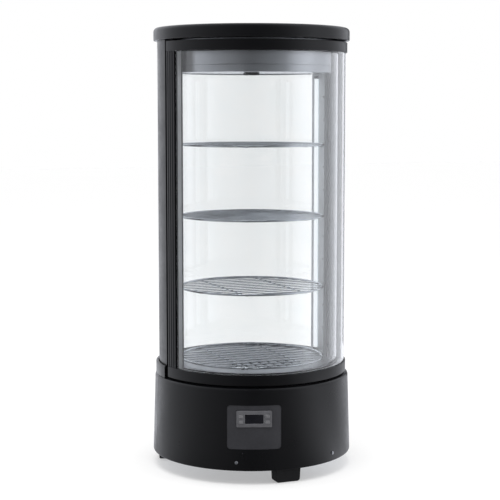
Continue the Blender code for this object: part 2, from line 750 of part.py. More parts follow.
def make_controller(finish):
    """Make the controller's housing, its window and its four push buttons."""
    front = bezel_front()
    place = {"upright": True, "rotation": radial(PANEL_BEARING)}
    housing = prism(
        "controller_housing",
        rounded_rectangle(BEZEL_WIDTH, BEZEL_HEIGHT, BEZEL_CORNER, bezel_centre()),
        -front, -front + BEZEL_DEPTH, finish.bezel, **place)
    body = prism(
        "controller_body_guide",
        rounded_rectangle(CONTROLLER_WIDTH, CONTROLLER_HEIGHT, BEZEL_CORNER, bezel_centre()),
        -front + BEZEL_DEPTH / 2, -front + CONTROLLER_DEPTH, finish.bezel, **place)
    pocket = prism(
        "window_pocket_guide",
        rounded_rectangle(
            WINDOW_WIDTH + 2 * SEAT, WINDOW_HEIGHT + 2 * SEAT, BUTTON_CORNER, bezel_centre()),
        -front - OVERRUN, -front + WINDOW_POCKET, finish.bezel, **place)
    bm = bmesh.new()
    well_depth = BUTTON_LENGTH - BUTTON_PROUD + BUTTON_TRAVEL + RUNNING
    for centre in button_places():
        outline = rounded_rectangle(
            BUTTON_WIDTH + 2 * BUTTON_FIT, BUTTON_HEIGHT + 2 * BUTTON_FIT, BUTTON_CORNER, centre)
        prism_into(bm, outline, -front - OVERRUN, -front + well_depth, upright=True)
    wells = add_object(
        "button_well_guide", mesh_from("button_well_guide", bm, finish.bezel),
        rotation=radial(PANEL_BEARING))
    combine(housing, body, "UNION")
    combine(housing, pocket, "DIFFERENCE")
    combine(housing, wells, "DIFFERENCE")
    window_back = -front + WINDOW_POCKET - SEAT
    window = prism(
        "controller_window",
        rounded_rectangle(WINDOW_WIDTH, WINDOW_HEIGHT, BUTTON_CORNER, bezel_centre()),
        window_back - WINDOW_THICKNESS, window_back, finish.window, **place)
    buttons = []
    for number, centre in enumerate(button_places(), 1):
        outline = rounded_rectangle(BUTTON_WIDTH, BUTTON_HEIGHT, BUTTON_CORNER, centre)
        buttons.append(prism(
            f"controller_button_{number}", outline, -front - BUTTON_PROUD,
            -front - BUTTON_PROUD + BUTTON_LENGTH, finish.button, **place))
    return [housing, window], buttons


def rail(name, finish, heights, outer, bearings, channel_heights, channel_outer, channel_bearings):
    """Make a curved rail with a channel that holds the ends of the two panes."""
    low, high = heights
    profile = [(RAIL_INNER_R, low), (outer, low), (outer, high), (RAIL_INNER_R, high)]
    obj = revolve(name, profile, finish.moulding, *bearings)
    low, high = channel_heights
    inner = CAVITY_R - LIP_FIT
    slot = [(inner, low), (channel_outer, low), (channel_outer, high), (inner, high)]
    guide = revolve(f"{name}_channel_guide", slot, finish.moulding, *channel_bearings)
    return combine(obj, guide, "DIFFERENCE")


def low_channel():
    return (DOOR_BOTTOM + CHANNEL_FLOOR, DOOR_BOTTOM + BOTTOM_RAIL + OVERRUN)


def high_channel():
    return (DOOR_TOP - TOP_RAIL - OVERRUN, DOOR_TOP - CHANNEL_FLOOR)


def make_door_rails(finish):
    slot_end = STILE_START + STILE_SLOT_ANGLE
    whole = (-DOOR_HALF, DOOR_HALF)
    slot = (-slot_end, slot_end)
    lip = GLASS_R + LIP_FIT
    bottom = rail(
        "door_bottom_rail", finish, (DOOR_BOTTOM, DOOR_BOTTOM + BOTTOM_RAIL), RAIL_OUTER_R,
        whole, low_channel(), lip, slot)
    top = rail(
        "door_top_rail", finish, (DOOR_TOP - TOP_RAIL, DOOR_TOP), RAIL_OUTER_R,
        whole, high_channel(), lip, slot)
    return bottom, top


def pane(name, finish, inner, start, end):
    profile = [
        (inner, GLASS_BOTTOM), (inner + PANE, GLASS_BOTTOM),
        (inner + PANE, GLASS_TOP), (inner, GLASS_TOP)]
    return revolve(name, profile, finish.glass, start, end)


def spacer(name, finish, start, end):
    """Make the aluminium frame that keeps the two panes apart."""
    inner = INNER_PANE_R + SPACER_FIT
    outer = GLASS_R - PANE - SPACER_FIT
    profile = [
        (inner, GLASS_BOTTOM), (outer, GLASS_BOTTOM), (outer, GLASS_TOP), (inner, GLASS_TOP)]
    frame = revolve(name, profile, finish.aluminium, start, end)
    opening = [
        (inner - OVERRUN, GLASS_BOTTOM + SPACER_HEIGHT),
        (outer + OVERRUN, GLASS_BOTTOM + SPACER_HEIGHT),
        (outer + OVERRUN, GLASS_TOP - SPACER_HEIGHT), (inner - OVERRUN, GLASS_TOP - SPACER_HEIGHT)]
    guide = revolve(
        f"{name}_opening_guide", opening, finish.aluminium,
        start + SPACER_WIDTH_ANGLE, end - SPACER_WIDTH_ANGLE)
    return combine(frame, guide, "DIFFERENCE")


def make_door_glazing(finish):
    end = STILE_START + STILE_SLOT_ANGLE - PANE_END_FIT
    return [
        pane("door_outer_glass", finish, GLASS_R - PANE, -end, end),
        pane("door_inner_glass", finish, CAVITY_R, -end, end),
        spacer("door_spacer", finish, -end, end)]


def make_rear_glazing(finish):
    """Make the fixed double glass behind the shelves, flush outside with its two rails."""
    start = POST_END + PANE_END_FIT
    end = 360.0 - start
    through = (start - PANE_END_FIT, end + PANE_END_FIT)
    bottom = rail(
        "rear_bottom_rail", finish, (POST_BOTTOM, DOOR_BOTTOM + BOTTOM_RAIL), DECK_R,
        (start, end), low_channel(), DECK_R + OVERRUN, through)
    top = rail(
        "rear_top_rail", finish, (DOOR_TOP - TOP_RAIL, POST_TOP), GLASS_R,
        (start, end), high_channel(), GLASS_R + OVERRUN, through)
    return [
        bottom, top,
        pane("rear_outer_glass", finish, GLASS_R - PANE, start, end),
        pane("rear_inner_glass", finish, CAVITY_R, start, end),
        spacer("rear_spacer", finish, start, end)]


def stile_outline():
    """Draw the right stile in plan, with flutes outside and a slot for the glass."""
    outer = GLASS_R + STILE_LIP
    inner = RAIL_INNER_R
    slot_end = STILE_START + STILE_SLOT_ANGLE
    lip_r = GLASS_R + LIP_FIT
    land = (DOOR_HALF - STILE_START) / (2 * FLUTES + 1)
    points = plan_arc(inner, DOOR_HALF, STILE_START, ARC_STEP / 2)
    points += plan_arc(CAVITY_R - LIP_FIT, STILE_START, slot_end)
    points += plan_arc(lip_r, slot_end, STILE_START)
    points += [polar(outer, STILE_START)[:2]]
    for index in range(FLUTES):
        start = STILE_START + land * (2 * index + 1)
        points += [polar(outer, start)[:2]]
        points += [polar(outer - FLUTE_DEPTH, start + land / 2)[:2]]
        points += [polar(outer, start + land)[:2]]
    points += [polar(outer, DOOR_HALF)[:2]]
    return points


def make_stiles(finish):
    low = DOOR_BOTTOM + BOTTOM_RAIL + SEAT
    high = DOOR_TOP - TOP_RAIL - SEAT
    return [
        prism("door_hinge_stile", stile_outline(), low, high, finish.moulding),
        prism("door_handle_stile", mirrored(stile_outline()), low, high, finish.moulding)]


def hinge_point():
    return polar(HINGE_R, HINGE_BEARING)[:2]


def make_hinges(finish, bottom_rail, top_rail):
    """Make the two hinge plates, and the pins that stand out of the door's rails."""
    x, y = hinge_point()
    pins = []
    for rail_obj, low, high in (
            (bottom_rail, BASE_TOP + SEAT, DOOR_BOTTOM + MOULDING),
            (top_rail, DOOR_TOP - MOULDING, CAP_BOTTOM - SEAT)):
        profile = [(0.0, low), (PIN_R, low), (PIN_R, high), (0.0, high)]
        pin = revolve(
            f"{rail_obj.name}_pin_guide", profile, finish.steel, step=SMALL_STEP,
            location=(x, y, 0.0))
        combine(rail_obj, pin, "UNION")
        pins.append(pin)
    plates = []
    centre = polar(HINGE_R, HINGE_BEARING + HINGE_PLATE_SHIFT)
    for name, low in (
            ("lower_hinge_plate", BASE_TOP), ("upper_hinge_plate", POST_TOP - HINGE_PLATE)):
        outline = rounded_rectangle(
            HINGE_PLATE_DEPTH, HINGE_PLATE_WIDTH, HINGE_PLATE_CORNER)
        plate = prism(
            name, outline, low, low + HINGE_PLATE, finish.steel,
            location=(centre[0], centre[1], 0.0),
            rotation=radial(HINGE_BEARING + HINGE_PLATE_SHIFT - 90.0))
        profile = [
            (0.0, low - OVERRUN), (HINGE_HOLE_R, low - OVERRUN),
            (HINGE_HOLE_R, low + HINGE_PLATE + OVERRUN), (0.0, low + HINGE_PLATE + OVERRUN)]
        hole = revolve(
            f"{name}_hole_guide", profile, finish.steel, step=SMALL_STEP, location=(x, y, 0.0))
        plates.append(combine(plate, hole, "DIFFERENCE"))
    return plates


def make_door_seals(finish):
    """Make the two arc seals on the inside of the door's rails."""
    inner = FLOOR_R + DOOR_SEAL_FIT
    outer = RAIL_INNER_R - ROUND_FIT
    seals = []
    for name, middle in (
            ("door_bottom_seal", DOOR_BOTTOM + BOTTOM_RAIL / 2),
            ("door_top_seal", DOOR_TOP - TOP_RAIL / 2)):
        low = middle - DOOR_SEAL_HEIGHT / 2
        high = middle + DOOR_SEAL_HEIGHT / 2
        profile = [(inner, middle), (outer, low), (outer, high)]
        seals.append(revolve(name, profile, finish.seal, DOOR_SEAL_START, DOOR_SEAL_END))
    return seals


def ledge_top(level):
    return shelf_height(level) - RIM_WIRE_R - SEAT


def shelf_height(level):
    """Give the height of the middle of a shelf's rim wire, counted from the lowest shelf."""
    return FLOOR_TOP + FIRST_SHELF_RISE + level * SHELF_SPACING


def make_lining(side, finish):
    """Make a post's aluminium lining with its front flange, its slots and its four ledges."""
    inner = LINING_R - LINING_THICKNESS
    sign = 1 if side == "right" else -1
    section = post_section(inner, LINING_R)
    lining = prism(
        f"{side}_post_lining", section if sign > 0 else mirrored(section),
        POST_BOTTOM, CEILING_BOTTOM - RUNNING, finish.aluminium)
    tip = math.sqrt(inner ** 2 - POST_FACE ** 2) - LAMP_DEPTH
    flange = box_outline(tip, flange_reach(), -POST_FACE, -POST_FACE + LINING_THICKNESS)
    guide = prism(
        f"{side}_flange_guide", flange if sign > 0 else mirrored(flange), FLOOR_TOP + SEAT,
        CEILING_BOTTOM - RUNNING, finish.aluminium)
    combine(lining, guide, "UNION")
    slots = bmesh.new()
    pitch = SHELF_SPACING / SLOTS_PER_TIER
    for index in range(SHELF_COUNT * SLOTS_PER_TIER):
        if index % SLOTS_PER_TIER == 0:
            continue
        middle = shelf_height(0) + index * pitch
        prism_into(
            slots, box_outline(
                -LINING_SLOT_WIDTH / 2, LINING_SLOT_WIDTH / 2,
                middle - LINING_SLOT_HEIGHT / 2, middle + LINING_SLOT_HEIGHT / 2),
            -LINING_R - SEAT, -inner + OVERRUN, upright=True)
    guide = add_object(
        f"{side}_slot_guide", mesh_from(f"{side}_slot_guide", slots, finish.aluminium),
        rotation=radial(sign * LINING_SLOT_BEARING))
    combine(lining, guide, "DIFFERENCE")
    ledges = bmesh.new()
    for level in range(SHELF_COUNT):
        top = ledge_top(level)
        root = LINING_R - LINING_THICKNESS / 2
        profile = [
            (inner - LEDGE_REACH, top - LEDGE_EDGE), (root, top - LEDGE_DROP), (root, top),
            (inner - LEDGE_REACH, top)]
        start = LEDGE_START if sign > 0 else -LEDGE_END
        revolve_into(ledges, profile, start, start + LEDGE_END - LEDGE_START)
    guide = add_object(
        f"{side}_ledge_guide", mesh_from(f"{side}_ledge_guide", ledges, finish.aluminium))
    return combine(lining, guide, "UNION")


def make_posts(finish):
    """Make the two posts, their linings, their lamps and the seals that the door meets."""
    pieces = []
    section = notched_post_section()
    for side, sign, seal in (("right", 1, HINGE_SEAL), ("left", -1, HANDLE_SEAL)):
        pieces.append(prism(
            f"{side}_post", section if sign > 0 else mirrored(section),
            POST_BOTTOM, POST_TOP, finish.moulding))
        pieces.append(make_lining(side, finish))
        lamp_back = LINING_R - LINING_THICKNESS - RUNNING
        lamp = prism(
            f"{side}_lamp", box_outline(
                -LAMP_WIDTH / 2, LAMP_WIDTH / 2, FLOOR_TOP + LAMP_END, CEILING_BOTTOM - LAMP_END),
            -lamp_back, -lamp_back + LAMP_DEPTH, finish.lamp, upright=True,
            rotation=radial(sign * LAMP_BEARING))
        pieces.append(bevel(lamp, LAMP_CORNER))
        face = -POST_FACE - SEAT
        strip = box_outline(POST_SEAL_R, POST_SEAL_R + POST_SEAL_WIDTH, face - seal, face)
        pieces.append(prism(
            f"{side}_post_seal", strip if sign > 0 else mirrored(strip),
            POST_BOTTOM, POST_TOP, finish.rubber))
    return pieces


def make_head(finish):
    """Make the two valance sheets, the ceiling with its pod, the head plate and the cap."""
    inner = VALANCE_R - VALANCE_THICKNESS
    flange_top = VALANCE_BOTTOM + SHEET
    flange_r = VALANCE_R - VALANCE_FLANGE
    groove = VALANCE_BOTTOM + VALANCE_GROOVE_RISE
    profile = [
        (VALANCE_R, VALANCE_BOTTOM), (VALANCE_R, groove - VALANCE_GROOVE / 2),
        (VALANCE_R - VALANCE_GROOVE_DEPTH, groove), (VALANCE_R, groove + VALANCE_GROOVE / 2),
        (VALANCE_R, POST_TOP), (inner, POST_TOP), (inner, flange_top), (flange_r, flange_top),
        (flange_r, VALANCE_BOTTOM)]
    rear = POST_END + PANE_END_FIT
    pieces = [
        revolve("front_valance", profile, finish.steel, -VALANCE_HALF, VALANCE_HALF),
        revolve("rear_valance", profile, finish.steel, rear, 360.0 - rear)]
    ceiling_r = LINING_R - RUNNING
    ceiling = [
        (0.0, CEILING_BOTTOM), (ceiling_r, CEILING_BOTTOM),
        (ceiling_r, CEILING_BOTTOM + MOULDING), (0.0, CEILING_BOTTOM + MOULDING)]
    pieces.append(revolve("ceiling_panel", ceiling, finish.white))
    pod = prism(
        "sensor_pod", rounded_rectangle(POD_SIZE, POD_SIZE, POD_CORNER),
        CEILING_BOTTOM - SEAT - POD_HEIGHT, CEILING_BOTTOM - SEAT, finish.plastic)
    pieces.append(pod)
    plate_r = CAP_R - MOULDING - RUNNING
    plate_top = CAP_BOTTOM + MOULDING
    plate = [
        (0.0, CAP_BOTTOM), (plate_r, CAP_BOTTOM), (plate_r, plate_top), (0.0, plate_top)]
    pieces.append(revolve("head_plate", plate, finish.zinc))
    skin = CASE_TOP - MOULDING
    cap = [(CAP_R - MOULDING, CAP_BOTTOM)]
    cap += arc(
        (CAP_R - CAP_LOWER_CORNER, CAP_BOTTOM + CAP_LOWER_CORNER), CAP_LOWER_CORNER, 270, 360,
        END_SHARES)
    cap += arc((CAP_R - CAP_CORNER, CASE_TOP - CAP_CORNER), CAP_CORNER, 0, 90)
    cap += [
        (0.0, CASE_TOP), (0.0, skin), (CAP_R - CAP_CORNER, skin),
        (CAP_R - MOULDING, CASE_TOP - CAP_CORNER)]
    pieces.append(revolve("top_cap", cap, finish.black))
    return pieces


def wire_into(bm, start, end, radius, sides=4):
    """Add a straight wire between two points, its edges up and down."""
    axis = Vector(end) - Vector(start)
    turn = axis.to_track_quat("Z", "Y").to_matrix().to_4x4()
    place = Matrix.Translation((Vector(start) + Vector(end)) / 2) @ turn
    bmesh.ops.create_cone(
        bm, cap_ends=True, segments=sides, radius1=radius, radius2=radius, depth=axis.length,
        matrix=place)


def make_shelf_mesh(finish):
    """Make a round wire shelf about its own middle: rim, parallel wires and two cross wires."""
    rim_r = SHELF_R - RIM_WIRE_R
    profile = arc((rim_r, 0.0), RIM_WIRE_R, 30, 330, SIX_SIDE_SHARES)
    rim = revolve("shelf_rim_guide", profile, finish.chrome, step=360.0 / RIM_FACETS)
    parallel = bmesh.new()
    for index in range(WIRE_COUNT):
        y = (rim_r - WIRE_MARGIN) * (2 * index / (WIRE_COUNT - 1) - 1)
        half = math.sqrt(rim_r ** 2 - y ** 2)
        wire_into(parallel, (-half, y, 0.0), (half, y, 0.0), WIRE_R)
    cross = bmesh.new()
    drop = 2 * WIRE_R - WIRE_BITE
    for x in (-CROSS_WIRE_X, CROSS_WIRE_X):
        half = math.sqrt(rim_r ** 2 - x ** 2)
        wire_into(cross, (x, -half, -drop), (x, half, -drop), WIRE_R)
    parallel = add_object("parallel_guide", mesh_from("parallel_guide", parallel, finish.chrome))
    cross = add_object("cross_guide", mesh_from("cross_guide", cross, finish.chrome))
    combine(rim, parallel, "UNION")
    combine(rim, cross, "UNION")
    mesh = finished_mesh(rim)
    mesh.name = "wire_shelf"
    for guide in (parallel, cross):
        bpy.data.objects.remove(guide, do_unlink=True)
    return mesh


def make_shelves(finish):
    mesh = make_shelf_mesh(finish)
    return [
        add_object(f"shelf_{level + 1}", mesh, location=(0.0, 0.0, shelf_height(level)))
        for level in range(SHELF_COUNT)]


def finned_outline(width, depth):
    """Draw a spine with upright fins on both sides, seen from above."""
    pitch = width / FIN_COUNT
    fin = pitch * FIN_SHARE
    spine = depth * SPINE_SHARE / 2
    front = []
    for index in range(FIN_COUNT):
        left = -width / 2 + index * (width - fin) / (FIN_COUNT - 1)
        right = left + fin
        front += [(left, -spine), (left, -depth / 2), (right, -depth / 2), (right, -spine)]
    front = front[1:-1]
    return front + [(x, -y) for x, y in reversed(front)]


def make_coils(finish):
    """Make the evaporator in its tub and the condenser on the pan."""
    width = 2 * (TUB_HALF_WIDTH - TUB_WALL - EVAPORATOR_MARGIN)
    depth = TUB_REAR - TUB_FRONT - 2 * (TUB_WALL + EVAPORATOR_MARGIN)
    low = TUB_BOTTOM + TUB_WALL + SEAT
    evaporator = prism(
        "evaporator_coil", finned_outline(width, depth), low, low + EVAPORATOR_HEIGHT,
        finish.aluminium, location=(0.0, (TUB_FRONT + TUB_REAR) / 2, 0.0))
    low = PAN_TOP + SEAT
    condenser = prism(
        "condenser_coil", finned_outline(CONDENSER_WIDTH, CONDENSER_DEPTH), low,
        low + CONDENSER_HEIGHT, finish.aluminium, location=(CONDENSER_X, CONDENSER_Y, 0.0))
    return [evaporator, condenser]


def make_fan_plate(name, finish, width, depth, opening_r, **place):
    """Make a plate with a round opening, and the motor that two arms hold in its middle."""
    plate = prism(
        name, box_outline(-width / 2, width / 2, -depth / 2, depth / 2), 0.0, FAN_PLATE,
        finish.zinc, **place)
    opening = [
        (0.0, -OVERRUN), (opening_r, -OVERRUN), (opening_r, OVERRUN), (0.0, OVERRUN)]
    combine(
        plate, revolve(f"{name}_opening_guide", opening, finish.zinc, step=COARSE_STEP, **place),
        "DIFFERENCE")
    arm = box_outline(
        -opening_r - MOTOR_ARM / 2, opening_r + MOTOR_ARM / 2, -MOTOR_ARM / 2, MOTOR_ARM / 2)
    combine(plate, prism(f"{name}_arm_guide", arm, 0.0, FAN_PLATE, finish.zinc, **place), "UNION")
    motor = [
        (0.0, -MOTOR_LENGTH), (MOTOR_R, -MOTOR_LENGTH), (MOTOR_R, FAN_PLATE), (0.0, FAN_PLATE)]
    combine(
        plate, revolve(f"{name}_motor_guide", motor, finish.zinc, step=SMALL_STEP, **place),
        "UNION")
    return plate


def make_fan(name, finish, fan_r, **place):
    """Make an axial fan whose pitched blades grow out of its hub."""
    hub_profile = [
        (0.0, 0.0), (FAN_HUB_R, 0.0), (FAN_HUB_R, FAN_HUB_HEIGHT * HUB_SHARE),
        (FAN_HUB_R * HUB_SHARE, FAN_HUB_HEIGHT), (0.0, FAN_HUB_HEIGHT)]
    fan = revolve(name, hub_profile, finish.plastic, step=SMALL_STEP, **place)
    blades = bmesh.new()
    inner = FAN_HUB_R * HUB_SHARE
    for index in range(FAN_BLADES):
        blade = bmesh.new()
        bmesh.ops.create_cube(blade, size=1.0)
        for vert in blade.verts:
            tip = vert.co.x > 0
            across = FAN_BLADE_WIDTH * (1.0 if tip else ROOT_SHARE)
            point = Vector((0.0, vert.co.y * across, vert.co.z * FAN_BLADE))
            turn = Matrix.Rotation(rad(FAN_PITCH * (1.0 if tip else TWIST_SHARE)), 3, "X")
            vert.co = turn @ point + Vector((fan_r - FAN_BLADE if tip else inner, 0.0, 0.0))
        turn = Matrix.Rotation(math.tau * index / FAN_BLADES, 3, "Z")
        bmesh.ops.rotate(blade, verts=blade.verts, cent=(0, 0, 0), matrix=turn)
        bmesh.ops.translate(blade, verts=blade.verts, vec=(0.0, 0.0, FAN_HUB_HEIGHT / 2))
        piece = mesh_from("blade", blade, finish.plastic)
        blades.from_mesh(piece)
        bpy.data.meshes.remove(piece)
    guide = add_object(f"{name}_blade_guide", mesh_from("blades", blades, finish.plastic), **place)
    return combine(fan, guide, "UNION")


def make_machinery(finish):
    """Make the fans with their plates and the compressor with its two pipes."""
    tub_y = (TUB_FRONT + TUB_REAR) / 2
    plate_z = TUB_BOTTOM + TUB_WALL + EVAPORATOR_FAN_PLATE_RISE
    width = 2 * (TUB_HALF_WIDTH - TUB_WALL - SEAT)
    depth = TUB_REAR - TUB_FRONT - 2 * (TUB_WALL + SEAT)
    opening_r = min(width, depth) / 2 - EVAPORATOR_FAN_FRAME
    evaporator_plate = make_fan_plate(
        "evaporator_fan_motor", finish, width, depth, opening_r, location=(0.0, tub_y, plate_z))
    evaporator_fan = make_fan(
        "evaporator_fan", finish, opening_r - FAN_TIP_GAP,
        location=(0.0, tub_y, plate_z + FAN_PLATE + RUNNING))
    fan_y = CONDENSER_PLATE_Y + FAN_PLATE + RUNNING
    fan_z = PAN_TOP + SEAT + CONDENSER_HEIGHT / 2
    rearwards = (rad(-90.0), 0.0, 0.0)
    opening_r = min(CONDENSER_WIDTH, CONDENSER_HEIGHT) / 2 - CONDENSER_FAN_FRAME
    condenser_plate = make_fan_plate(
        "condenser_fan_motor", finish, CONDENSER_WIDTH, CONDENSER_HEIGHT, opening_r,
        location=(CONDENSER_X, CONDENSER_PLATE_Y, fan_z), rotation=rearwards)
    condenser_fan = make_fan(
        "condenser_fan", finish, opening_r - FAN_TIP_GAP,
        location=(CONDENSER_X, fan_y, fan_z), rotation=rearwards)
    fixed = [evaporator_plate, condenser_plate, make_compressor(finish)]
    return fixed + make_pipes(finish), evaporator_fan, condenser_fan


def make_compressor(finish):
    """Make the sealed compressor: a foot, a drum with a welded band, and two domes."""
    dome = COMPRESSOR_HEIGHT * DOME_SHARE
    middle = COMPRESSOR_HEIGHT / 2
    band_r = COMPRESSOR_R + COMPRESSOR_BAND
    profile = [
        (0.0, 0.0), (COMPRESSOR_FOOT_R, 0.0), (COMPRESSOR_FOOT_R, MOULDING),
        (COMPRESSOR_R * DOME_FOOT_SHARE, MOULDING),
        (COMPRESSOR_R, dome), (COMPRESSOR_R, middle - COMPRESSOR_BAND),
        (band_r, middle - COMPRESSOR_BAND), (band_r, middle + COMPRESSOR_BAND),
        (COMPRESSOR_R, middle + COMPRESSOR_BAND), (COMPRESSOR_R, COMPRESSOR_HEIGHT - dome)]
    for angle_share in ARC_SHARES[1:]:
        turn = rad(90.0 * angle_share)
        profile.append((
            COMPRESSOR_R * math.cos(turn), COMPRESSOR_HEIGHT - dome + dome * math.sin(turn)))
    return revolve(
        "compressor", profile, finish.plastic, step=COARSE_STEP,
        location=(COMPRESSOR_X, COMPRESSOR_Y, PAN_TOP + SEAT))


def smooth_route(points, steps):
    """Give points on a smooth curve through a pipe's own points, with straight ends."""
    first, *inner, last = [Vector(p) for p in points]
    vectors = inner
    padded = [2 * vectors[0] - vectors[1]] + vectors + [2 * vectors[-1] - vectors[-2]]
    route = []
    for a, b, c, d in zip(padded, padded[1:], padded[2:], padded[3:]):
        for index in range(steps):
            t = index / steps
            cubic = (3 * b - a - 3 * c + d) * t ** 3
            square = (2 * a - 5 * b + 4 * c - d) * t ** 2
            route.append((2 * b + (c - a) * t + square + cubic) / 2)
    return [first] + route + [vectors[-1], last]


def pipe(name, points, mat):
    curve = bpy.data.curves.new(name, "CURVE")
    curve.dimensions = "3D"
    curve.bevel_depth = PIPE_R
    curve.bevel_resolution = 1
    curve.use_fill_caps = True
    route = smooth_route(points, PIPE_STEPS)
    spline = curve.splines.new("POLY")
    spline.points.add(len(route) - 1)
    for place, point in zip(spline.points, route):
        place.co = (*point, 1.0)
    curve.materials.append(mat)
    obj = bpy.data.objects.new(name, curve)
    bpy.context.scene.collection.objects.link(obj)
    return obj


def make_pipes(finish):
    """Make the suction pipe from the tub and the discharge pipe to the condenser."""
    height = PAN_TOP + SEAT + COMPRESSOR_HEIGHT * PIPE_HEIGHT_SHARE
    wall = TUB_REAR + RUNNING
    drum = COMPRESSOR_Y - COMPRESSOR_R - RUNNING
    middle = (wall + drum) / 2
    suction = [
        (COMPRESSOR_X - PIPE_OFFSET, wall, height + PIPE_RISE),
        (COMPRESSOR_X - PIPE_OFFSET, wall + PIPE_RISE, height + PIPE_RISE),
        (COMPRESSOR_X - PIPE_OFFSET / 2, middle, height + PIPE_RISE / 2),
        (COMPRESSOR_X, drum - PIPE_RISE, height), (COMPRESSOR_X, drum, height)]
    coil_x = CONDENSER_X + CONDENSER_WIDTH / 2 + RUNNING
    drum_x = COMPRESSOR_X - COMPRESSOR_R - RUNNING
    discharge = [
        (drum_x, COMPRESSOR_Y, height), (drum_x - PIPE_RISE, COMPRESSOR_Y, height),
        ((drum_x + coil_x) / 2, (COMPRESSOR_Y + CONDENSER_Y) / 2, height + PIPE_RISE),
        (coil_x + PIPE_RISE, CONDENSER_Y, height), (coil_x, CONDENSER_Y, height)]
    return [
        pipe("suction_pipe", suction, finish.copper),
        pipe("discharge_pipe", discharge, finish.copper)]


def hang_on(pieces, name, location):
    """Parent the pieces of a moving body to an empty on its joint's axis."""
    pivot = bpy.data.objects.new(name, None)
    pivot.location = location
    bpy.context.scene.collection.objects.link(pivot)
    for piece in pieces:
        piece.parent = pivot
        piece.matrix_parent_inverse = Matrix.Translation(location).inverted()


def main():
    for obj in list(bpy.data.objects):
        bpy.data.objects.remove(obj, do_unlink=True)
    finish = Finishes()
    post_guides = make_post_guides(finish)
    fixed = make_feet(finish) + make_base_pan(finish) + make_front_shell(finish)
    fixed += make_rear_cover(finish) + make_gland(finish) + make_deck(finish, post_guides)
    fixed += make_floor(finish, post_guides) + make_collar(finish)
    fixed += make_control_panel(finish)
    controller, buttons = make_controller(finish)
    fixed += controller + make_posts(finish) + make_rear_glazing(finish) + make_head(finish)
    fixed += make_shelves(finish) + make_coils(finish)
    machinery, evaporator_fan, condenser_fan = make_machinery(finish)
    bottom_rail, top_rail = make_door_rails(finish)
    fixed += machinery + make_hinges(finish, bottom_rail, top_rail)
    door = [bottom_rail, top_rail] + make_stiles(finish) + make_door_glazing(finish)
    door += make_door_seals(finish)
    hang_on(door, "door_hinge", (*hinge_point(), DOOR_BOTTOM))
    print("pieces:", len(fixed) + len(door) + len(buttons) + len([evaporator_fan, condenser_fan]))


main()
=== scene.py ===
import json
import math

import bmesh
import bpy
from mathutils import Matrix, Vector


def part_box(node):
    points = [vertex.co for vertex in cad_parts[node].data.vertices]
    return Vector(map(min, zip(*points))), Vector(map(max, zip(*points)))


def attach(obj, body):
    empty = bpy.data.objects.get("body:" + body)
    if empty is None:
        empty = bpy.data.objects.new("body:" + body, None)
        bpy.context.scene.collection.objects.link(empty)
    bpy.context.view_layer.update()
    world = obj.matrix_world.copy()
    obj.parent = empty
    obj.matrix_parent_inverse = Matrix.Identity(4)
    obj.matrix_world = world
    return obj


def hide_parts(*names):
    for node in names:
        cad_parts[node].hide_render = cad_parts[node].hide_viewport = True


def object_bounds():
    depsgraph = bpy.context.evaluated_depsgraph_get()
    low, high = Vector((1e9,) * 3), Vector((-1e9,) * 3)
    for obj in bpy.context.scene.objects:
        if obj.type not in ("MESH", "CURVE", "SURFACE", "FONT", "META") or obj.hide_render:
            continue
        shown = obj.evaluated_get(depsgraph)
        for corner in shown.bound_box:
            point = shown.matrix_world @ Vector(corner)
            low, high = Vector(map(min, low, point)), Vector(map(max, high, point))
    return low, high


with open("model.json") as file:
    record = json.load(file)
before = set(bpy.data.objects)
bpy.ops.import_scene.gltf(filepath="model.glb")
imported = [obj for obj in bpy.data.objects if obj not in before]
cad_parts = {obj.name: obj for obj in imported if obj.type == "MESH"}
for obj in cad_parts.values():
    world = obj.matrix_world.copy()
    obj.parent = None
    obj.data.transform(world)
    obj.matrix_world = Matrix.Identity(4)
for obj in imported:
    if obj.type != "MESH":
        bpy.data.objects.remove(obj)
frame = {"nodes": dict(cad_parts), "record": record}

# %% [markdown]
# # A round refrigerated display case
# The solids of the case are loaded above as a fixed frame, in metres, with the
# case's axis on Z and the middle of its door on -Y. A bearing below is an angle
# about that axis in degrees, from -Y towards +X. The solids are coarse where they
# are round, so the pieces that show are modelled again here at the same sizes, with
# fine turns, round edges and small details, and every surface gets its own finish.

solid_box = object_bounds()
print("solid box:", [list(corner) for corner in solid_box])

# %% [markdown]
# ## Camera
# The photograph was taken with a long lens from a little above the middle of the
# case, turned to the left of the door. The focal length, the distance and the height
# were solved from the ellipses of the cap, the shelves and the base.

# %% Camera
IMAGE_SIZE = 500
FOCAL_PIXELS = 1380.0
SENSOR = 36.0
CAMERA_DISTANCE = 3.161
CAMERA_HEIGHT = 0.8195
CAMERA_BEARING = -22.2
CAMERA_PITCH = 5.92
AXIS_PIXEL = 251.5


def polar(radius, bearing, height=0.0):
    """Give the point at a radius, a bearing in degrees and a height."""
    turn = math.radians(bearing)
    return Vector((radius * math.sin(turn), -radius * math.cos(turn), height))


camera_data = bpy.data.cameras.new("camera")
camera_data.sensor_width = SENSOR
camera_data.lens = FOCAL_PIXELS * SENSOR / IMAGE_SIZE
camera_data.shift_x = -(AXIS_PIXEL - IMAGE_SIZE / 2) / IMAGE_SIZE
camera = bpy.data.objects.new("camera", camera_data)
bpy.context.scene.collection.objects.link(camera)
camera.location = polar(CAMERA_DISTANCE, CAMERA_BEARING, CAMERA_HEIGHT)
camera.rotation_euler = (
    math.radians(90.0 - CAMERA_PITCH), 0.0, math.radians(CAMERA_BEARING))
bpy.context.scene.camera = camera
print("camera lens:", round(camera_data.lens, 2))

# %% [markdown]
# ## Light, floor and background
# The case stands in a studio with white walls behind it and beside it, and a dim one behind
# the camera. Black and steel are shown by what they mirror, so the light of the walls is
# a band all round the case: it is dim in front, which keeps the middle dark, grows
# steadily to the left, and has a bright window on the right, for the one clear upright
# highlight. The camera sees plain white all round, also straight through the glass.

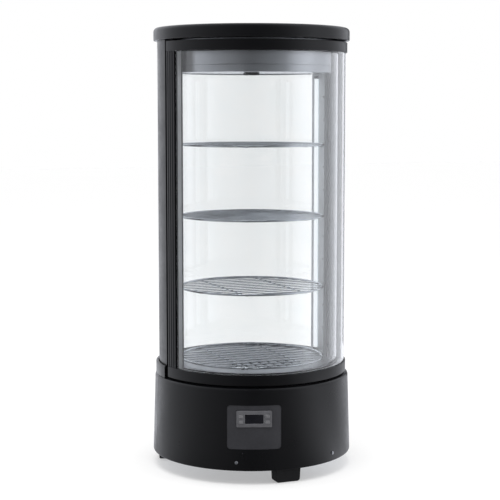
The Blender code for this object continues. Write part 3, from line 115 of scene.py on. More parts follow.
# %% World
WALL_SCALE = 2.0
WALL_COLOUR = (0.92, 0.94, 1.0, 1.0)
WHITE = (1.0, 1.0, 1.0, 1.0)
WALLS = (
    (-180.0, 1.1), (-130.0, 1.5), (-105.0, 1.05), (-75.0, 0.94), (-48.0, 0.54), (0.0, 0.17),
    (42.0, 0.40), (57.0, 0.92), (76.0, 1.60), (103.0, 1.0), (130.0, 1.2), (180.0, 1.1))

scene = bpy.context.scene
scene.view_settings.view_transform = "Standard"


def feed(tree, socket, value):
    """Set a socket to a value, or link it to the output of another node."""
    if isinstance(value, bpy.types.NodeSocket):
        tree.links.new(value, socket)
    else:
        socket.default_value = value


def node(tree, kind, **values):
    """Add a shader node; a value names an input by its words or a setting of the node."""
    made = tree.nodes.new(kind)
    for key, value in values.items():
        if hasattr(made, key):
            setattr(made, key, value)
        else:
            feed(tree, made.inputs[key.replace("_", " ")], value)
    return made


def math_node(tree, operation, first, second, clamp=False):
    """Add a math node fed by links or by numbers, and give its output."""
    made = node(tree, "ShaderNodeMath", operation=operation, use_clamp=clamp)
    feed(tree, made.inputs[0], first)
    feed(tree, made.inputs[1], second)
    return made.outputs[0]


def dot_product(tree, first, second):
    """Give the dot product of two directions."""
    made = node(tree, "ShaderNodeVectorMath", operation="DOT_PRODUCT")
    feed(tree, made.inputs[0], first)
    feed(tree, made.inputs[1], second)
    return made.outputs["Value"]


def choose(tree, factor, no, yes, data_type="FLOAT"):
    """Mix two numbers, colours or links by a factor and give the output."""
    return node(
        tree, "ShaderNodeMix", data_type=data_type, Factor=factor, A=no, B=yes).outputs["Result"]


def mirrored_view(tree, rays):
    """Give 1 where a thing is seen in a reflection."""
    return math_node(tree, "GREATER_THAN", rays.outputs["Glossy Depth"], 0.5)


def wall_light(tree, direction):
    """Give the light of the studio's walls in a direction from the case."""
    parts = [
        dot_product(tree, direction, polar(1.0, bearing))
        for bearing in (CAMERA_BEARING + 90.0, CAMERA_BEARING)]
    angle = math_node(tree, "ARCTAN2", *parts)
    place = math_node(tree, "ADD", math_node(tree, "DIVIDE", angle, 2.0 * math.pi), 0.5)
    walls = node(tree, "ShaderNodeValToRGB", Fac=place)
    stops = walls.color_ramp.elements
    while len(stops) < len(WALLS):
        stops.new(1.0)
    for stop, (degrees, light) in zip(stops, WALLS):
        stop.position = degrees / 360.0 + 0.5
        stop.color = (*[light / WALL_SCALE] * 3, 1.0)
    return math_node(tree, "MULTIPLY", walls.outputs[0], WALL_SCALE)


def clear_view(tree, rays):
    """Give 1 where the camera sees a thing straight or through the glass alone."""
    bounces = math_node(
        tree, "ADD", rays.outputs["Diffuse Depth"], rays.outputs["Glossy Depth"])
    straight = math_node(tree, "LESS_THAN", bounces, 0.5)
    through = math_node(tree, "MULTIPLY", rays.outputs["Is Transmission Ray"], straight)
    return math_node(tree, "MAXIMUM", rays.outputs["Is Camera Ray"], through)


world = bpy.data.worlds.new("studio")
scene.world = world
world.use_nodes = True
tree = world.node_tree
background = tree.nodes["Background"]
direction = node(tree, "ShaderNodeTexCoord").outputs["Generated"]
rays = node(tree, "ShaderNodeLightPath")
seen_colour = choose(tree, mirrored_view(tree, rays), WHITE, WALL_COLOUR, "RGBA")
strength = choose(tree, clear_view(tree, rays), wall_light(tree, direction), 1.0)
feed(tree, background.inputs["Color"], seen_colour)
feed(tree, background.inputs["Strength"], strength)
print("wall stops:", len(WALLS))

# %% [markdown]
# The floor is white paper that runs on into the walls. The camera sees it a little lighter
# than the lamps make it, so that it ends in the white of the background. In a reflection it
# goes on as the walls do, or each piece of glass would show a horizon.

# %% Floor
FLOOR_SIZE = 30.0
FLOOR_COLOR = (0.70, 0.70, 0.70, 1.0)
FLOOR_GLOW = 0.35
UNLIT = (0.0, 0.0, 0.0, 1.0)
PAPER_ROUGHNESS = 0.9


def set_shader(material, **values):
    """Feed a material's shader; each value names an input of it by its words."""
    shader = material.node_tree.nodes["Principled BSDF"]
    for key, value in values.items():
        feed(material.node_tree, shader.inputs[key.replace("_", " ")], value)


def new_material(name, **values):
    """Start a material with values for its shader."""
    made = bpy.data.materials.new(name)
    made.use_nodes = True
    set_shader(made, **values)
    return made


def hang_sheet(name, bm, paper):
    """Make a bmesh an object of the studio."""
    mesh = bpy.data.meshes.new(name)
    bm.to_mesh(mesh)
    bm.free()
    mesh.materials.append(paper)
    sheet = bpy.data.objects.new(name, mesh)
    scene.collection.objects.link(sheet)
    return sheet


paper = new_material("white_paper", Roughness=PAPER_ROUGHNESS, Specular_IOR_Level=0.0)
floor_bm = bmesh.new()
bmesh.ops.create_grid(floor_bm, x_segments=1, y_segments=1, size=FLOOR_SIZE / 2)
floor = hang_sheet("floor", floor_bm, paper)
tree = paper.node_tree
rays = node(tree, "ShaderNodeLightPath")
in_mirror = mirrored_view(tree, rays)
outwards = node(tree, "ShaderNodeVectorMath", operation="NORMALIZE")
feed(tree, outwards.inputs[0], node(tree, "ShaderNodeTexCoord").outputs["Object"])
glow = math_node(tree, "MULTIPLY", clear_view(tree, rays), FLOOR_GLOW)
set_shader(
    paper, Base_Color=choose(tree, in_mirror, FLOOR_COLOR, UNLIT, "RGBA"),
    Emission_Color=choose(tree, in_mirror, WHITE, WALL_COLOUR, "RGBA"),
    Emission_Strength=choose(
        tree, in_mirror, glow, wall_light(tree, outwards.outputs["Vector"])))
print("floor:", FLOOR_SIZE, "m")

# %% [markdown]
# Clear glass in a white room has no outline. A studio stands a black card beside the
# backdrop, just out of the picture, and the glass mirrors it as a thin dark line along its
# edge. The card is seen in reflections only and casts no shadow.

# %% Black card
CARD_BACK = 1.5
CARD_NEAR = 13.0
CARD_FAR = 25.0
CARD_HEIGHT = 1.6
CARD_COLOUR = (0.02, 0.02, 0.02, 1.0)


def turn_to(bm, degrees, axis="Z"):
    """Turn a shape about an axis; about Z, from the front of the case to a bearing."""
    bmesh.ops.rotate(
        bm, verts=bm.verts, cent=(0, 0, 0),
        matrix=Matrix.Rotation(math.radians(degrees), 3, axis))
    return bm


case_edge = solid_box[1].x
near, far = [
    case_edge + CARD_BACK * math.tan(math.radians(angle)) for angle in (CARD_NEAR, CARD_FAR)]
card_bm = bmesh.new()
bmesh.ops.create_grid(card_bm, x_segments=1, y_segments=1, size=0.5)
bmesh.ops.scale(card_bm, verts=card_bm.verts, vec=(far - near, CARD_HEIGHT, 1.0))
turn_to(card_bm, 90.0, "X")
bmesh.ops.translate(
    card_bm, verts=card_bm.verts, vec=((near + far) / 2, CARD_BACK, CARD_HEIGHT / 2))
turn_to(card_bm, CAMERA_BEARING)
card_paper = new_material(
    "black_card_paper", Base_Color=CARD_COLOUR, Roughness=PAPER_ROUGHNESS)
card = hang_sheet("black_card", card_bm, card_paper)
for kind in ("camera", "diffuse", "transmission", "shadow", "volume_scatter"):
    setattr(card, f"visible_{kind}", False)
print("card:", round(near, 3), "to", round(far, 3), "m beside the middle of the view")

# %% [markdown]
# One large soft lamp above adds the faint shadow under the case. It stays out of reflections,
# because the walls alone draw the highlights, and a lamp would add a line to each round edge.

# %% Lamp
LAMP_POWER = 40.0
LAMP_SIZE = (1.8, 1.4)
LAMP_OUT = 1.2
LAMP_LEFT = 8.0
LAMP_HEIGHT = 3.0
LAMP_AIM = Vector((0.0, 0.0, 0.5))

light = bpy.data.lights.new("top_softbox", "AREA")
light.shape = "RECTANGLE"
light.size, light.size_y = LAMP_SIZE
light.energy = LAMP_POWER
softbox = bpy.data.objects.new("top_softbox", light)
scene.collection.objects.link(softbox)
softbox.location = polar(LAMP_OUT, CAMERA_BEARING - LAMP_LEFT, LAMP_HEIGHT)
softbox.rotation_euler = (LAMP_AIM - softbox.location).to_track_quat("-Z", "Y").to_euler()
softbox.visible_glossy = False
print("lamp:", LAMP_POWER, "W")

# %% [markdown]
# ## Shared effects for the finishes
# Real surfaces are never one flat colour. Four effects are shared by all finishes, so
# each is a node group that is built once: cloudy marks that vary colour and gloss, a fine
# grain for the relief, brush lines that run round the case, and a mask of the worn outer
# edges.

# %% Node groups
SMALL_MARKS = 7.0
SMALL_SHARE = 0.35
CLOUD_CONTRAST = (0.36, 0.64)
BRUSH_ROUND = 6.0
BRUSH_UP = 1400.0
WEAR_PATCHES = 160.0
WEAR_CONTRAST = 12.0


def new_group(name, inputs, output):
    """Start a node group with number inputs; give it with its inputs, place and end."""
    group = bpy.data.node_groups.new(name, "ShaderNodeTree")
    for label, value in inputs:
        socket = group.interface.new_socket(label, in_out="INPUT", socket_type="NodeSocketFloat")
        socket.default_value = value
    group.interface.new_socket(output, in_out="OUTPUT", socket_type="NodeSocketFloat")
    given = group.nodes.new("NodeGroupInput").outputs
    place = group.nodes.new("ShaderNodeTexCoord").outputs["Object"]
    return group, given, place, group.nodes.new("NodeGroupOutput").inputs[output]


def noise(group, place, scale, detail, roughness):
    """Add a noise and give its value."""
    made = node(
        group, "ShaderNodeTexNoise", Vector=place, Scale=scale, Detail=detail,
        Roughness=roughness)
    return made.outputs[0]


def make_clouds():
    """Build soft cloudy marks, with smaller marks inside the larger ones."""
    group, given, place, result = new_group("clouds", (("Scale", 8.0),), "Mask")
    small_scale = math_node(group, "MULTIPLY", given["Scale"], SMALL_MARKS)
    small = noise(group, place, small_scale, detail=2.0, roughness=0.5)
    large = noise(group, place, given["Scale"], detail=3.0, roughness=0.6)
    total = math_node(
        group, "ADD", math_node(group, "MULTIPLY", small, SMALL_SHARE),
        math_node(group, "MULTIPLY", large, 1.0 - SMALL_SHARE))
    low, high = CLOUD_CONTRAST
    spread = node(group, "ShaderNodeMapRange", Value=total, From_Min=low, From_Max=high)
    feed(group, result, spread.outputs["Result"])
    return group


def make_grain():
    """Build a fine even grain, as of spray paint or moulded plastic."""
    group, given, place, result = new_group("grain", (("Scale", 900.0),), "Height")
    feed(group, result, noise(group, place, given["Scale"], detail=2.0, roughness=0.7))
    return group


def make_brushing():
    """Build fine lines that run round the case."""
    group, given, place, result = new_group("round_brushing", (("Scale", 1.0),), "Height")
    parts = node(group, "ShaderNodeSeparateXYZ", Vector=place).outputs
    turn = math_node(group, "ARCTAN2", parts["X"], parts["Y"])
    lines = node(
        group, "ShaderNodeCombineXYZ", X=math_node(group, "MULTIPLY", turn, BRUSH_ROUND),
        Z=math_node(group, "MULTIPLY", parts["Z"], BRUSH_UP))
    brushed = noise(group, lines.outputs[0], given["Scale"], detail=3.0, roughness=0.65)
    feed(group, result, brushed)
    return group


def make_edge_wear():
    """Build a mask of the convex edges, broken up by noise."""
    group, given, place, result = new_group(
        "edge_wear", (("Width", 0.001), ("Amount", 1.0)), "Mask")
    rounded = node(group, "ShaderNodeBevel", samples=4, Radius=given["Width"])
    surface = node(group, "ShaderNodeNewGeometry")
    turn = dot_product(group, rounded.outputs["Normal"], surface.outputs["Normal"])
    bent = math_node(group, "SUBTRACT", 1.0, turn)
    patches = noise(group, place, WEAR_PATCHES, detail=3.0, roughness=0.5)
    mask = math_node(
        group, "MULTIPLY", bent, math_node(group, "MULTIPLY", patches, WEAR_CONTRAST))
    feed(group, result, math_node(group, "MULTIPLY", mask, given["Amount"], clamp=True))
    return group


CLOUDS = make_clouds()
GRAIN = make_grain()
BRUSHING = make_brushing()
EDGE_WEAR = make_edge_wear()
print("node groups:", len(bpy.data.node_groups))

# %% [markdown]
# ## Finishes
# One function lays the shared effects over a colour: the clouds swing colour and
# roughness a little, the grain or the brush lines give the relief, and the edges go
# lighter where hands and cloths have rubbed them. Each finish then needs
# only its own values.

# %% Finish maker
SMOOTHEST = 0.02


def place_group(tree, group, **values):
    """Use a shared effect with its own values, and give its output."""
    return node(tree, "ShaderNodeGroup", node_tree=group, **values).outputs[0]


def scaled(colour, factor):
    """Give a colour lighter or darker by a factor."""
    return (*[min(1.0, channel * factor) for channel in colour], 1.0)


def swing(tree, cloud, low, high):
    """Let the clouds swing a number between two values."""
    return node(
        tree, "ShaderNodeMapRange", Value=cloud, To_Min=low, To_Max=high).outputs["Result"]


def make_finish(
        name, colour, roughness, metallic=0.0, clouds=8.0, tint_swing=0.12, rough_swing=0.06,
        relief=GRAIN, relief_scale=900.0, depth=0.00002, wear=0.3, wear_width=0.001,
        worn=1.8, specular=0.5):
    """Make a finish whose colour, roughness and relief change over the surface."""
    made = new_material(name, Metallic=metallic, Specular_IOR_Level=specular)
    tree = made.node_tree
    cloud = place_group(tree, CLOUDS, Scale=clouds)
    edge = place_group(tree, EDGE_WEAR, Width=wear_width, Amount=wear)
    tint = choose(
        tree, cloud, scaled(colour, 1.0 - tint_swing), scaled(colour, 1.0 + tint_swing), "RGBA")
    height = place_group(tree, relief, Scale=relief_scale)
    bump = node(tree, "ShaderNodeBump", Strength=1.0, Distance=depth, Height=height)
    smoothest = max(SMOOTHEST, roughness - rough_swing)
    set_shader(
        made, Base_Color=choose(tree, edge, tint, scaled(colour, worn), "RGBA"),
        Roughness=swing(tree, cloud, smoothest, roughness + rough_swing),
        Normal=bump.outputs["Normal"])
    return made


# %% Finishes of the case
FINISH_VALUES = {
    "satin_black": dict(
        colour=(0.0026, 0.0026, 0.0034), roughness=0.32, clouds=9.0, relief_scale=1400.0,
        depth=0.000010, worn=3.0, specular=0.28),
    "black_moulding": dict(
        colour=(0.0024, 0.0024, 0.0031), roughness=0.34, clouds=14.0, relief_scale=1800.0,
        depth=0.000008, worn=5.0, specular=0.25),
    "charcoal": dict(
        colour=(0.036, 0.036, 0.042), roughness=0.50, clouds=30.0, relief_scale=2600.0,
        depth=0.00003, worn=1.6),
    "bezel_grey": dict(
        colour=(0.120, 0.120, 0.130), roughness=0.34, clouds=60.0, relief_scale=3200.0,
        depth=0.00002, wear=0.8, worn=2.6),
    "dark_window": dict(
        colour=(0.004, 0.004, 0.007), roughness=0.10, clouds=50.0, rough_swing=0.04,
        relief_scale=300.0, depth=0.000004, wear=0.1),
    "button_grey": dict(
        colour=(0.20, 0.20, 0.21), roughness=0.48, clouds=120.0, relief_scale=4200.0,
        depth=0.00002, worn=1.5),
    "brushed_steel": dict(
        colour=(0.45, 0.46, 0.48), roughness=0.37, metallic=1.0, clouds=10.0, tint_swing=0.06,
        relief=BRUSHING, relief_scale=1.0, depth=0.000012, worn=1.3),
    "aluminium": dict(
        colour=(0.70, 0.72, 0.73), roughness=0.42, metallic=0.25, clouds=24.0, tint_swing=0.05,
        relief_scale=2200.0, depth=0.00001, worn=1.2),
    "chromed_wire": dict(
        colour=(0.42, 0.44, 0.46), roughness=0.14, metallic=1.0, clouds=40.0, tint_swing=0.08,
        relief_scale=500.0, depth=0.000006, worn=1.2, wear=0.1),
    "white_panel": dict(
        colour=(0.80, 0.82, 0.84), roughness=0.12, clouds=12.0, tint_swing=0.03, rough_swing=0.04,
        relief_scale=1200.0, depth=0.000003, worn=1.05),
    "black_rubber": dict(
        colour=(0.011, 0.011, 0.012), roughness=0.70, clouds=40.0, tint_swing=0.25,
        relief_scale=1600.0, depth=0.00006, worn=2.5, specular=0.35),
    "seal_grey": dict(
        colour=(0.10, 0.10, 0.11), roughness=0.62, clouds=30.0, relief_scale=1600.0,
        depth=0.00005, worn=1.4, specular=0.35),
    "zinc_sheet": dict(
        colour=(0.42, 0.43, 0.45), roughness=0.42, metallic=1.0, clouds=60.0, tint_swing=0.16,
        rough_swing=0.12, relief_scale=300.0, depth=0.00001, worn=1.2),
    "copper_pipe": dict(
        colour=(0.66, 0.33, 0.20), roughness=0.32, metallic=1.0, clouds=60.0, tint_swing=0.20,
        relief_scale=700.0, depth=0.00001, worn=1.2),
    "dark_plastic": dict(
        colour=(0.020, 0.020, 0.023), roughness=0.50, clouds=30.0, relief_scale=1800.0,
        depth=0.00003, worn=2.0),
    "black_iron": dict(
        colour=(0.012, 0.012, 0.013), roughness=0.34, clouds=18.0, relief_scale=260.0,
        depth=0.00008, worn=3.0),
}
FINISHES = {name: make_finish(name, **values) for name, values in FINISH_VALUES.items()}
print("finishes:", len(FINISHES))

# %% [markdown]
# ## Glass and light
# The panes are clear float glass. A real body of glass with two faces refracts the
# light by itself, so the finish is plain transmission with a faint cool tint, and weak
# smears of cleaning in its roughness. The lamps are milky covers that glow evenly.

# %% Glass and lamp finish
GLASS_TINT = (0.986, 0.996, 0.999)
GLASS_SWING = (0.995, 1.01)
GLASS_INDEX = 1.45
GLASS_SMEARS = 14.0
GLASS_ROUGHNESS = (0.0, 0.03)
LAMP_COLOUR = (0.93, 0.97, 1.0)
LAMP_STRENGTH = 0.75


def make_glass():
    """Make clear glass with a faint cool tint and weak smears."""
    made = new_material("clear_glass", Transmission_Weight=1.0, IOR=GLASS_INDEX)
    tree = made.node_tree
    cloud = place_group(tree, CLOUDS, Scale=GLASS_SMEARS)
    tints = [scaled(GLASS_TINT, factor) for factor in GLASS_SWING]
    set_shader(
        made, Base_Color=choose(tree, cloud, *tints, "RGBA"),
        Roughness=swing(tree, cloud, *GLASS_ROUGHNESS))
    return made


def make_lamp_cover():
    """Make a milky cover that glows evenly."""
    made = make_finish(
        "lamp_diffuser", LAMP_COLOUR, 0.45, clouds=40.0, tint_swing=0.02, relief_scale=1500.0,
        depth=0.00001, wear=0.0)
    set_shader(made, Emission_Color=(*LAMP_COLOUR, 1.0), Emission_Strength=LAMP_STRENGTH)
    return made


FINISHES["clear_glass"] = make_glass()
FINISHES["lamp_diffuser"] = make_lamp_cover()

# %% [markdown]
# ## Modelling helpers
# Nearly every piece of this case is a body of revolution, or a stretch of one. So one
# helper draws an outline of radii and heights, rounds its corners with a vertex bevel
# and spins it between two bearings. Others make blocks and rods, cut one shape with
# another, and turn a bmesh into a piece that rides on its body.

# %% Modelling helpers
SIDES = ("right", "left")
WELD = 0.00001
FINE_STEP = 1.875
SHARP = 32.0
FACET_TURNS = 5
BLOCK_TURNS = 6
SMALL_TURNS = 3


def round_off(bm, geometry, size, segments, affect="EDGES"):
    """Round edges or vertices by a size."""
    bmesh.ops.bevel(
        bm, geom=geometry, offset=size, affect=affect, segments=segments, profile=0.5,
        material=-1)


def span_face(bm, verts, corners, segments):
    """Span a face over an outline; a third number of a corner rounds it."""
    bm.faces.new(verts)
    sizes = [corner[2] if len(corner) > 2 else 0.0 for corner in corners]
    for size in sorted(set(sizes) - {0.0}):
        chosen = [vert for vert, own in zip(verts, sizes) if own == size]
        round_off(bm, chosen, size, segments, "VERTICES")


def turned(corners, start=0.0, end=360.0, step=FINE_STEP, turns=FACET_TURNS):
    """Spin an outline about the axis of the case into a closed solid."""
    bm = bmesh.new()
    verts = [bm.verts.new(polar(corner[0], start, corner[1])) for corner in corners]
    span_face(bm, verts, corners, turns)
    steps = max(1, round((end - start) / step))
    if end - start < 360.0:
        geometry = bm.faces[:]
    else:
        bmesh.ops.delete(bm, geom=bm.faces[:], context="FACES_ONLY")
        geometry = [
            edge for edge in bm.edges
            if max(Vector(vert.co.xy).length for vert in edge.verts) > WELD]
    bmesh.ops.spin(
        bm, geom=geometry, cent=(0, 0, 0), axis=(0, 0, 1), angle=math.radians(end - start),
        steps=steps, use_merge=end - start >= 360.0)
    bmesh.ops.remove_doubles(bm, verts=bm.verts, dist=WELD)
    bmesh.ops.recalc_face_normals(bm, faces=bm.faces)
    return bm


def ring_section(inner, outer, low, high, *spin, inner_edge=0.0, outer_edge=0.0):
    """Spin an upright section between two radii and two heights, with eased corners."""
    return turned([
        (inner, low, inner_edge), (outer, low, outer_edge), (outer, high, outer_edge),
        (inner, high, inner_edge)], *spin)


def rounded_block(low, high, corner=0.0, along="Z", edge=0.0):
    """Make a box with round corners along one axis, and with eased rims at its two ends."""
    bm = bmesh.new()
    low, high = Vector(low), Vector(high)
    axis = "XYZ".index(along)
    bmesh.ops.create_cube(bm, size=1.0)
    bmesh.ops.scale(bm, verts=bm.verts, vec=high - low)
    bmesh.ops.translate(bm, verts=bm.verts, vec=(low + high) / 2)
    for width, lengthwise, segments in (
            (corner, True, BLOCK_TURNS), (edge, False, SMALL_TURNS)):
        if not width:
            continue
        chosen = [
            e for e in bm.edges
            if (abs((e.verts[0].co - e.verts[1].co)[axis]) > WELD) == lengthwise]
        round_off(bm, chosen, width, segments)
    return bm


def front_block(width, outer, inner, low, high, corner=0.0, along="Z", bearing=0.0, edge=0.0):
    """Make a block between two radii on the front of the case, and turn it to a bearing."""
    block = rounded_block((-width / 2, -outer, low), (width / 2, -inner, high), corner, along, edge)
    return turn_to(block, bearing)


def rod(start, end, radius, sides=10):
    """Make a round rod between two points."""
    bm = bmesh.new()
    axis = Vector(end) - Vector(start)
    turn = axis.to_track_quat("Z", "Y").to_matrix().to_4x4()
    bmesh.ops.create_cone(
        bm, cap_ends=True, segments=sides, radius1=radius, radius2=radius, depth=axis.length,
        matrix=Matrix.Translation((Vector(start) + Vector(end)) / 2) @ turn)
    return bm


def ring(radius, thick, height, sides=10, steps=96):
    """Make a round wire bent into a ring about the axis of the case."""
    bm = bmesh.new()
    bmesh.ops.create_circle(bm, segments=sides, radius=thick)
    turn_to(bm, 90.0, "Y")
    bmesh.ops.translate(bm, verts=bm.verts, vec=(0.0, -radius, height))
    bmesh.ops.spin(
        bm, geom=bm.edges[:], cent=(0, 0, 0), axis=(0, 0, 1), angle=math.radians(360.0),
        steps=steps, use_merge=True)
    bmesh.ops.recalc_face_normals(bm, faces=bm.faces)
    return bm


def mirrored(bm):
    """Mirror a shape from the right side of the case to the left."""
    bmesh.ops.scale(bm, verts=bm.verts, vec=(-1.0, 1.0, 1.0))
    bmesh.ops.recalc_face_normals(bm, faces=bm.faces)
    return bm


def on_side(bm, side):
    """Give a shape of the right side as it is, or mirrored for the left side."""
    return mirrored(bm) if side == "left" else bm


def stand_out(bm, bearing, radius, height):
    """Turn a shape that was made on Z to look outwards at a place on the wall."""
    turn = polar(1.0, bearing).to_track_quat("Z", "Y").to_matrix()
    bmesh.ops.rotate(bm, verts=bm.verts, cent=(0, 0, 0), matrix=turn)
    bmesh.ops.translate(bm, verts=bm.verts, vec=polar(radius, bearing, height))
    return bm


def extruded(points, low, high):
    """Raise an outline in plan to a solid; a third number of a point rounds its corner."""
    bm = bmesh.new()
    verts = [bm.verts.new((point[0], point[1], low)) for point in points]
    span_face(bm, verts, points, SMALL_TURNS)
    raised = bmesh.ops.extrude_face_region(bm, geom=bm.faces[:])["geom"]
    moved = [item for item in raised if isinstance(item, bmesh.types.BMVert)]
    bmesh.ops.translate(bm, verts=moved, vec=(0.0, 0.0, high - low))
    bmesh.ops.recalc_face_normals(bm, faces=bm.faces)
    return bm


def join(*shapes):
    """Put several shapes into one bmesh."""
    whole = shapes[0]
    for shape in shapes[1:]:
        mesh = bpy.data.meshes.new("part")
        shape.to_mesh(mesh)
        shape.free()
        whole.from_mesh(mesh)
        bpy.data.meshes.remove(mesh)
    return whole


def carve(shape, guide, operation="DIFFERENCE"):
    """Cut, join or intersect one closed shape with another and give the result."""
    objects = []
    for bm in (shape, guide):
        mesh = bpy.data.meshes.new("carve")
        bm.to_mesh(mesh)
        bm.free()
        obj = bpy.data.objects.new("carve", mesh)
        scene.collection.objects.link(obj)
        objects.append(obj)
    modifier = objects[0].modifiers.new("Carve", "BOOLEAN")
    modifier.operation = operation
    modifier.solver = "EXACT"
    modifier.object = objects[1]
    result = bmesh.new()
    result.from_object(objects[0], bpy.context.evaluated_depsgraph_get())
    for obj in objects:
        mesh = obj.data
        bpy.data.objects.remove(obj)
        bpy.data.meshes.remove(mesh)
    return result


def slice_at(bm, point, normal):
    """Cut a solid with a plane, drop the side the normal points to, and close the cut."""
    geometry = bm.verts[:] + bm.edges[:] + bm.faces[:]
    cut = bmesh.ops.bisect_plane(
        bm, geom=geometry, plane_co=point, plane_no=normal, clear_outer=True)
    edges = [item for item in cut["geom_cut"] if isinstance(item, bmesh.types.BMEdge)]
    bmesh.ops.edgeloop_fill(bm, edges=edges)
    bmesh.ops.recalc_face_normals(bm, faces=bm.faces)
    return bm


def add_piece(name, bm, finish, body="cabinet", stands_for=(), edge=0.0):
    """Make a bmesh a finished piece that rides on a body and stands for its solids."""
    mesh = bpy.data.meshes.new(name)
    bm.to_mesh(mesh)
    bm.free()
    mesh.materials.append(FINISHES[finish])
    mesh.shade_smooth()
    mesh.set_sharp_from_angle(angle=math.radians(SHARP))
    piece = bpy.data.objects.new(name, mesh)
    scene.collection.objects.link(piece)
    if edge:
        rounding = piece.modifiers.new("Rounding", "BEVEL")
        rounding.width = edge
        rounding.segments = 2
        rounding.limit_method = "ANGLE"
        rounding.angle_limit = math.radians(SHARP)
        rounding.harden_normals = True
    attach(piece, body)
    if stands_for:
        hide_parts(*stands_for)
    print("piece:", name, len(mesh.polygons), "faces")
    return piece


def front_radius(node_name):
    """Give the outer radius of a solid that crosses the front of the case."""
    return -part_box(node_name)[0].y


def rear_radius(node_name):
    """Give the outer radius of a solid that crosses the back of the case."""
    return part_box(node_name)[1].y


def side_radius(node_name):
    """Give how far a solid reaches to the right."""
    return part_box(node_name)[1].x


def heights(node_name):
    """Give the lowest and the highest point of a solid."""
    low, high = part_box(node_name)
    return low.z, high.z


# %% [markdown]
# ## Cap
# The cap is a drawn disc of satin black with a deep rounded shoulder. Spinning its
# section keeps the shoulder and the small lower edge true all the way round.

# %% Cap
CAP_SHOULDER = 0.009
CAP_LOWER_EDGE = 0.0015
SKIN = 0.003

cap_r = front_radius("top_cap")
cap_low, cap_high = heights("top_cap")
add_piece("cap_cover", turned([
    (0.0, cap_high), (cap_r, cap_high, CAP_SHOULDER), (cap_r, cap_low, CAP_LOWER_EDGE),
    (cap_r - SKIN, cap_low), (cap_r - SKIN, cap_high - SKIN, CAP_SHOULDER - SKIN),
    (0.0, cap_high - SKIN)]), "satin_black", stands_for=["top_cap"])

# %% [markdown]
# ## Base walls
# The front wall and the rear cover are two shells of one slightly flared cylinder,
# with a seam just behind the posts. The front wall has the opening of the control panel and
# the rear cover has its upright vents and the hole of the cable bush, so both are spun and
# then cut.

# %% Base walls
WALL_LOWER_EDGE = 0.004
WALL_UPPER_EDGE = 0.007
SEAM_BEARING = 94.0
SEAM = 0.25
LEDGE_DROP = 0.0086
LEDGE_WIDTH = 0.0088
CLEAR = 0.0003
VENTS = 13
VENT_SPREAD = 30.0
VENT_WIDTH = 0.005
VENT_LOW = 0.070
VENT_HIGH = 0.155
REACH = 0.012
PANEL_BEARING = -20.7
SEAT = 0.0003
GLAND_BEARING = 150.0
GLAND_Z = 0.052
GLAND_R = 0.007
BASE_TOP_R = 0.2225
WALL_FIT = 0.0008
PANEL_WIDTH = 0.119
PANEL_CORNER = 0.008
HOLE_SIDES = 32

base_low, base_high = heights("base_front_shell")
base_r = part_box("base_front_shell")[1].x
deck_r = front_radius("insulated_deck") + WALL_FIT
pan_r = front_radius("base_pan") + WALL_FIT
wall_outline = [
    (base_r, base_low, WALL_LOWER_EDGE), (BASE_TOP_R, base_high, WALL_UPPER_EDGE),
    (deck_r, base_high), (deck_r, base_high - LEDGE_DROP),
    (deck_r - LEDGE_WIDTH, base_high - LEDGE_DROP),
    (deck_r - LEDGE_WIDTH, base_high - LEDGE_DROP - SKIN),
    (BASE_TOP_R - SKIN, base_high - LEDGE_DROP - SKIN), (base_r - SKIN, base_low + SKIN),
    (pan_r, base_low + SKIN), (pan_r, base_low)]
panel_low, panel_high = heights("control_panel")


def wall_radius(height):
    """Give the radius of the flared wall of the base at a height."""
    low = base_low + WALL_LOWER_EDGE
    high = base_high - WALL_UPPER_EDGE
    return base_r + (BASE_TOP_R - base_r) * (height - low) / (high - low)


def through_wall(width, low, high, corner, bearing):
    """Make an upright block that reaches through the wall of the base."""
    return front_block(
        width, base_r + REACH, base_r - 3 * REACH, low, high, corner, "Y", bearing)


opening = through_wall(
    PANEL_WIDTH, panel_low - CLEAR, panel_high + CLEAR, PANEL_CORNER, PANEL_BEARING)
front_wall = carve(turned(wall_outline, -SEAM_BEARING, SEAM_BEARING), opening)
add_piece("front_wall", front_wall, "satin_black", stands_for=["base_front_shell"])
rear_wall = turned(wall_outline, SEAM_BEARING + SEAM, 360.0 - SEAM_BEARING - SEAM)
vents = []
for index in range(VENTS):
    vents.append(through_wall(
        VENT_WIDTH, VENT_LOW, VENT_HIGH, VENT_WIDTH / 2 - 2 * WELD,
        180.0 + VENT_SPREAD * (2 * index / (VENTS - 1) - 1)))
bush_hole = stand_out(
    rod((0.0, 0.0, -REACH), (0.0, 0.0, REACH), GLAND_R + SEAT, HOLE_SIDES), GLAND_BEARING,
    wall_radius(GLAND_Z), GLAND_Z)
rear_wall = carve(rear_wall, join(*vents, bush_hole))
add_piece("rear_wall", rear_wall, "satin_black", stands_for=["base_rear_cover"])

# %% [markdown]
# ## Rear edge of the base
# Behind the door the base carries a low wall that hides the foot of the posts and of the
# rear glass. It is one ring of a thick section with a soft upper edge.

# %% Rear edge of the base
EDGE_WALL = 0.006
EDGE_BEARING = 84.6
EDGE_FOOT = 0.0006
EDGE_OUTER = 0.003
EDGE_INNER = 0.001

edge_low, edge_high = heights("rear_collar")
edge_r = rear_radius("rear_collar")
add_piece("rear_edge_wall", turned([
    (edge_r - EDGE_WALL, edge_low), (edge_r, edge_low, EDGE_FOOT),
    (edge_r, edge_high, EDGE_OUTER), (edge_r - EDGE_WALL, edge_high, EDGE_INNER)],
    EDGE_BEARING, 360.0 - EDGE_BEARING),
    "satin_black", stands_for=["rear_collar"])

# %% [markdown]
# ## Side posts
# Two posts carry the head. Each is a stretch of a thick ring that a flat plane cuts off
# where the door's edge meets it. Its inner face is lined with aluminium, which has a flange
# on the front, slots and four ledges for the shelves. Spinning and then cutting with the
# plane gives both the round faces and the flat one.

